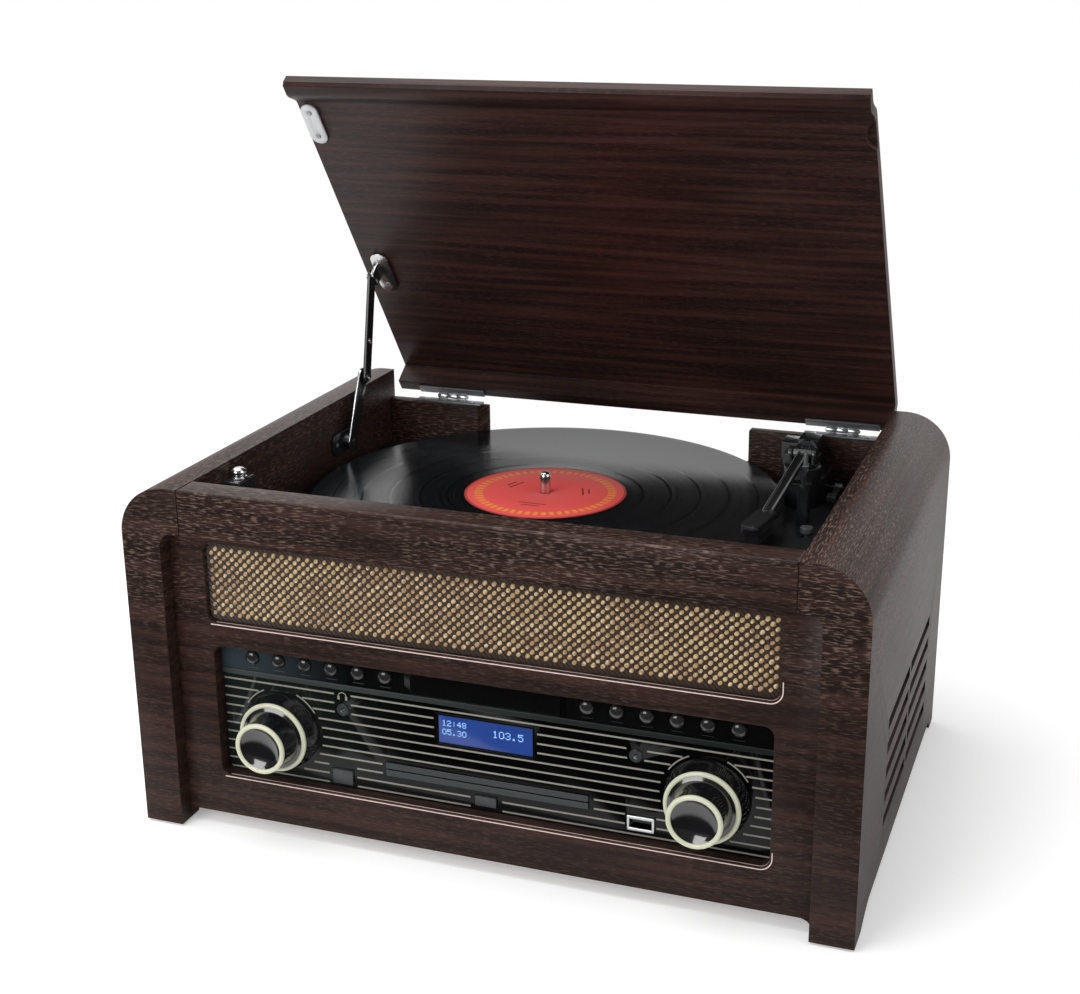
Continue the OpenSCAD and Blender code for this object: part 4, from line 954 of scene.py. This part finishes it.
# ---- Tonearm and deck controls ----
# Black moulded parts with a satin finish: the gear housing, the fork, a channel-shaped
# arm and its head. A grey saddle carries the resting arm, and the controls are small.
arm_satin = speckled("arm_satin", (0.012, 0.013, 0.014, 1), (0.020, 0.022, 0.024, 1), 900, 0.24, 0.006 * mm,
                     Coat_Weight=0.3)
grey_moulding = speckled("grey_moulding", (0.10, 0.105, 0.11, 1), (0.14, 0.145, 0.15, 1), 800, 0.35, 0.01 * mm)
pale_grey = speckled("pale_grey", (0.30, 0.32, 0.32, 1), (0.40, 0.42, 0.42, 1), 700, 0.3)
ledge_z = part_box("arm_rest")[1].z - 9 * mm


def on_saddle(spot, normal):
    """The rest's ledge, above its post."""
    return spot.z > ledge_z and normal.z > 0.3


def lit_upper_edge(spot, normal):
    """The rounded upper edges of a moulding, given a painted highlight where light from above catches them."""
    return 0.3 < normal.z < 0.93


# On the tonearm and the cue lever the grey finish on the upward-facing bevels is a painted highlight; on the clip
# and the levers it is the moulding's own grey.
for node, body, material, bright, rule in (
        ("tonearm_base", "cabinet", arm_satin, None, None),
        ("tonearm_gimbal", "tonearm_gimbal", arm_satin, None, None),
        ("tonearm", "tonearm", arm_satin, grey_moulding, lit_upper_edge),
        ("cartridge", "tonearm", black_satin, None, None),
        ("arm_rest", "cabinet", arm_satin, pale_grey, on_saddle),
        ("arm_clip", "arm_clip", grey_moulding, None, None),
        ("cue_lever", "cue_lever", arm_satin, grey_moulding, lit_upper_edge),
        ("speed_lever", "speed_lever", grey_moulding, None, None),
        ("autostop_switch", "autostop_switch", grey_moulding, None, None)):
    piece = eased(node, f"{node}_moulded", material, 0.45 * mm, 3)
    if rule:
        second_finish(piece, bright, rule)
    fit_piece(piece, body, "black_plastic", node)

# ---- Lid ----
# A moulded board in a reddish dark veneer, with a raised field, a rounded front lip and a
# board along its rear edge. It hangs on two hinges.
lid_joint = next(j for j in frame["record"]["behaviour"]["joints"] if j["name"] == "lid_hinge")
hinge_axis = Vector(lid_joint["pos_m"])
lid_turn = Matrix.Translation(hinge_axis) @ Matrix.Rotation(-math.radians(lid_joint["range_deg"][1]), 4, "X") @ \
    Matrix.Translation(-hinge_axis)
lid_veneer = veneer("lid_veneer", (0.016, 0.008, 0.007, 1), (0.050, 0.020, 0.016, 1),
                    (0.075, 0.036, 0.03, 1), 0.35, 0.32, 0.1)


def lid_grain(spot, normal):
    """From left to right along the lid, whatever its angle."""
    closed = lid_turn.inverted() @ spot
    if abs(normal.x) > 0.7:
        return closed.y, closed.z
    return closed.x, closed.y + closed.z


lid_board = eased("lid", "lid_board", lid_veneer, 0.9 * mm)
lay_grain(lid_board, lid_grain)
fit_piece(lid_board, "lid", "lid_veneer", "lid")

# ---- Lid hinges, strike plate and catch ----
# Bright pressed steel: two butt hinges with rolled knuckles, an oval strike plate under
# the lid, and a sprung stud on the left wall. Small cross-head screws hold them.
small_screw = cross_head(2.0, 0.7)
tiny_screw = cross_head(1.6, 0.5)


def on_knuckle(spot, normal):
    """Whatever lies round the hinge axis."""
    return math.hypot(spot.y - hinge_axis.y, spot.z - hinge_axis.z) < 2.5 * mm


leaf_grey = speckled("leaf_grey", (0.30, 0.31, 0.32, 1), (0.22, 0.23, 0.24, 1), 400, 0.45, Metallic=0.8)
for node, name, body in (("cabinet_hinge_leaves", "hinge_leaves_lower", "cabinet"),
                         ("lid_hinge_leaves", "hinge_leaves_upper", "lid")):
    leaves = second_finish(eased(node, name, leaf_grey, 0.2 * mm, 2), bright_metal, on_knuckle)
    fit_piece(leaves, body, "bright_metal", node)
white_plate = speckled("white_plate", (0.68, 0.69, 0.70, 1), (0.60, 0.61, 0.62, 1), 500, 0.3, Metallic=0.3)
fit_piece(eased("strike_plate", "oval_strike", white_plate, 0.3 * mm, 2), "lid", "bright_metal", "strike_plate")
hinge_places = (-136, 148)
leaf_screws = [place(x + side * 18, 295.8, 201.2) for x in hinge_places for side in (-1, 1)]
fit_piece(repeated("hinge_screws_lower", tiny_screw, leaf_screws, upwards, bright_metal),
          "cabinet", "bright_metal")
lid_facing = (lid_turn @ Matrix.Rotation(math.pi, 4, "X")).to_3x3().to_4x4()
plate_screws = [lid_turn @ place(-170.5, 59.2 + dy, 218.1) for dy in (-9.5, 9.5)]
fit_piece(repeated("strike_screws", tiny_screw, plate_screws, lid_facing, sheet_metal, 3), "lid", "bright_metal")

catch_low, catch_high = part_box("lid_catch")
catch_centre = Vector((catch_low.x + 6.3 * mm, (catch_low.y + catch_high.y) / 2, catch_low.z))
bm = bmesh.new()
seat = Matrix.Translation(Vector((catch_low.x + 6 * mm, catch_centre.y, catch_low.z + 6.5 * mm))) @ \
    Matrix.Diagonal((12 * mm, 20 * mm, 13 * mm, 1))
bmesh.ops.create_cube(bm, size=1, matrix=seat)
catch_body = rounded_edges(new_piece("catch_body", bm, arm_satin), 1.2 * mm, 3)
fit_piece(catch_body, "cabinet", "bright_metal", "lid_catch")
bm = bmesh.new()
turned(bm, [(0, 12.8), (5.4, 12.8), (5.5, 13.6), (5.0, 14.2), (4.2, 14.4), (4.2, 15.2), (4.9, 15.8), (5.0, 16.8),
            (4.5, 18.2), (3.2, 19.3), (1.6, 19.8), (0, 19.9)], catch_centre, upwards, 40)
fit_piece(new_piece("catch_stud", bm, bright_metal, 35), "cabinet", "bright_metal")

# ---- Lid stay ----
# A folding stay: a bright bracket screwed under the lid, a black upper arm with two rivets,
# a black channel with a bright front edge, and a black bracket on the left wall.
fit_piece(eased("stay_lid_bracket", "stay_bracket_upper", bright_metal, 0.3 * mm, 2), "lid", "bright_metal",
          "stay_lid_bracket")
arm_high, arm_low = place(-170, 247.2, 298.8), place(-170, 233.5, 231.2)
rightwards = Matrix.Rotation(math.radians(90), 4, "Y")
fit_piece(eased("stay_arm", "stay_arm_black", arm_satin, 0.25 * mm, 2), "stay_arm", "black_plastic", "stay_arm")
bm = bmesh.new()
for share, size in ((0.64, 1.0), (1.0, 1.35)):
    turned(bm, [(0, -0.2), (2.2 * size, -0.2), (2.2 * size, 0.5), (1.7 * size, 1.0), (0, 1.25)],
           arm_high.lerp(arm_low, share), rightwards, 24)
fit_piece(new_piece("stay_rivets", bm, bright_metal, 50), "stay_arm", "bright_metal")


def on_front_edge(spot, normal):
    """The channel's folded front edge."""
    return normal.y < -0.5


channel = second_finish(eased("stay_channel", "stay_channel_folded", arm_satin, 0.25 * mm, 2), bright_metal,
                        on_front_edge)
fit_piece(channel, "stay_channel", "bright_metal", "stay_channel")
fit_piece(eased("stay_wall_bracket", "stay_bracket_lower", arm_satin, 0.4 * mm, 2), "cabinet", "black_plastic",
          "stay_wall_bracket")
wall_screws = [place(-179.3, 209 + dy, 190) for dy in (-8.5, 8.5)]
fit_piece(repeated("stay_screws_lower", tiny_screw, wall_screws, rightwards, sheet_metal, 7),
          "cabinet", "bright_metal")
bracket_screws = [lid_turn @ place(-163, 192 + dy, 217.9) for dy in (-11, 11)]
fit_piece(repeated("stay_screws_upper", small_screw, bracket_screws, lid_facing, sheet_metal, 5),
          "lid", "bright_metal")
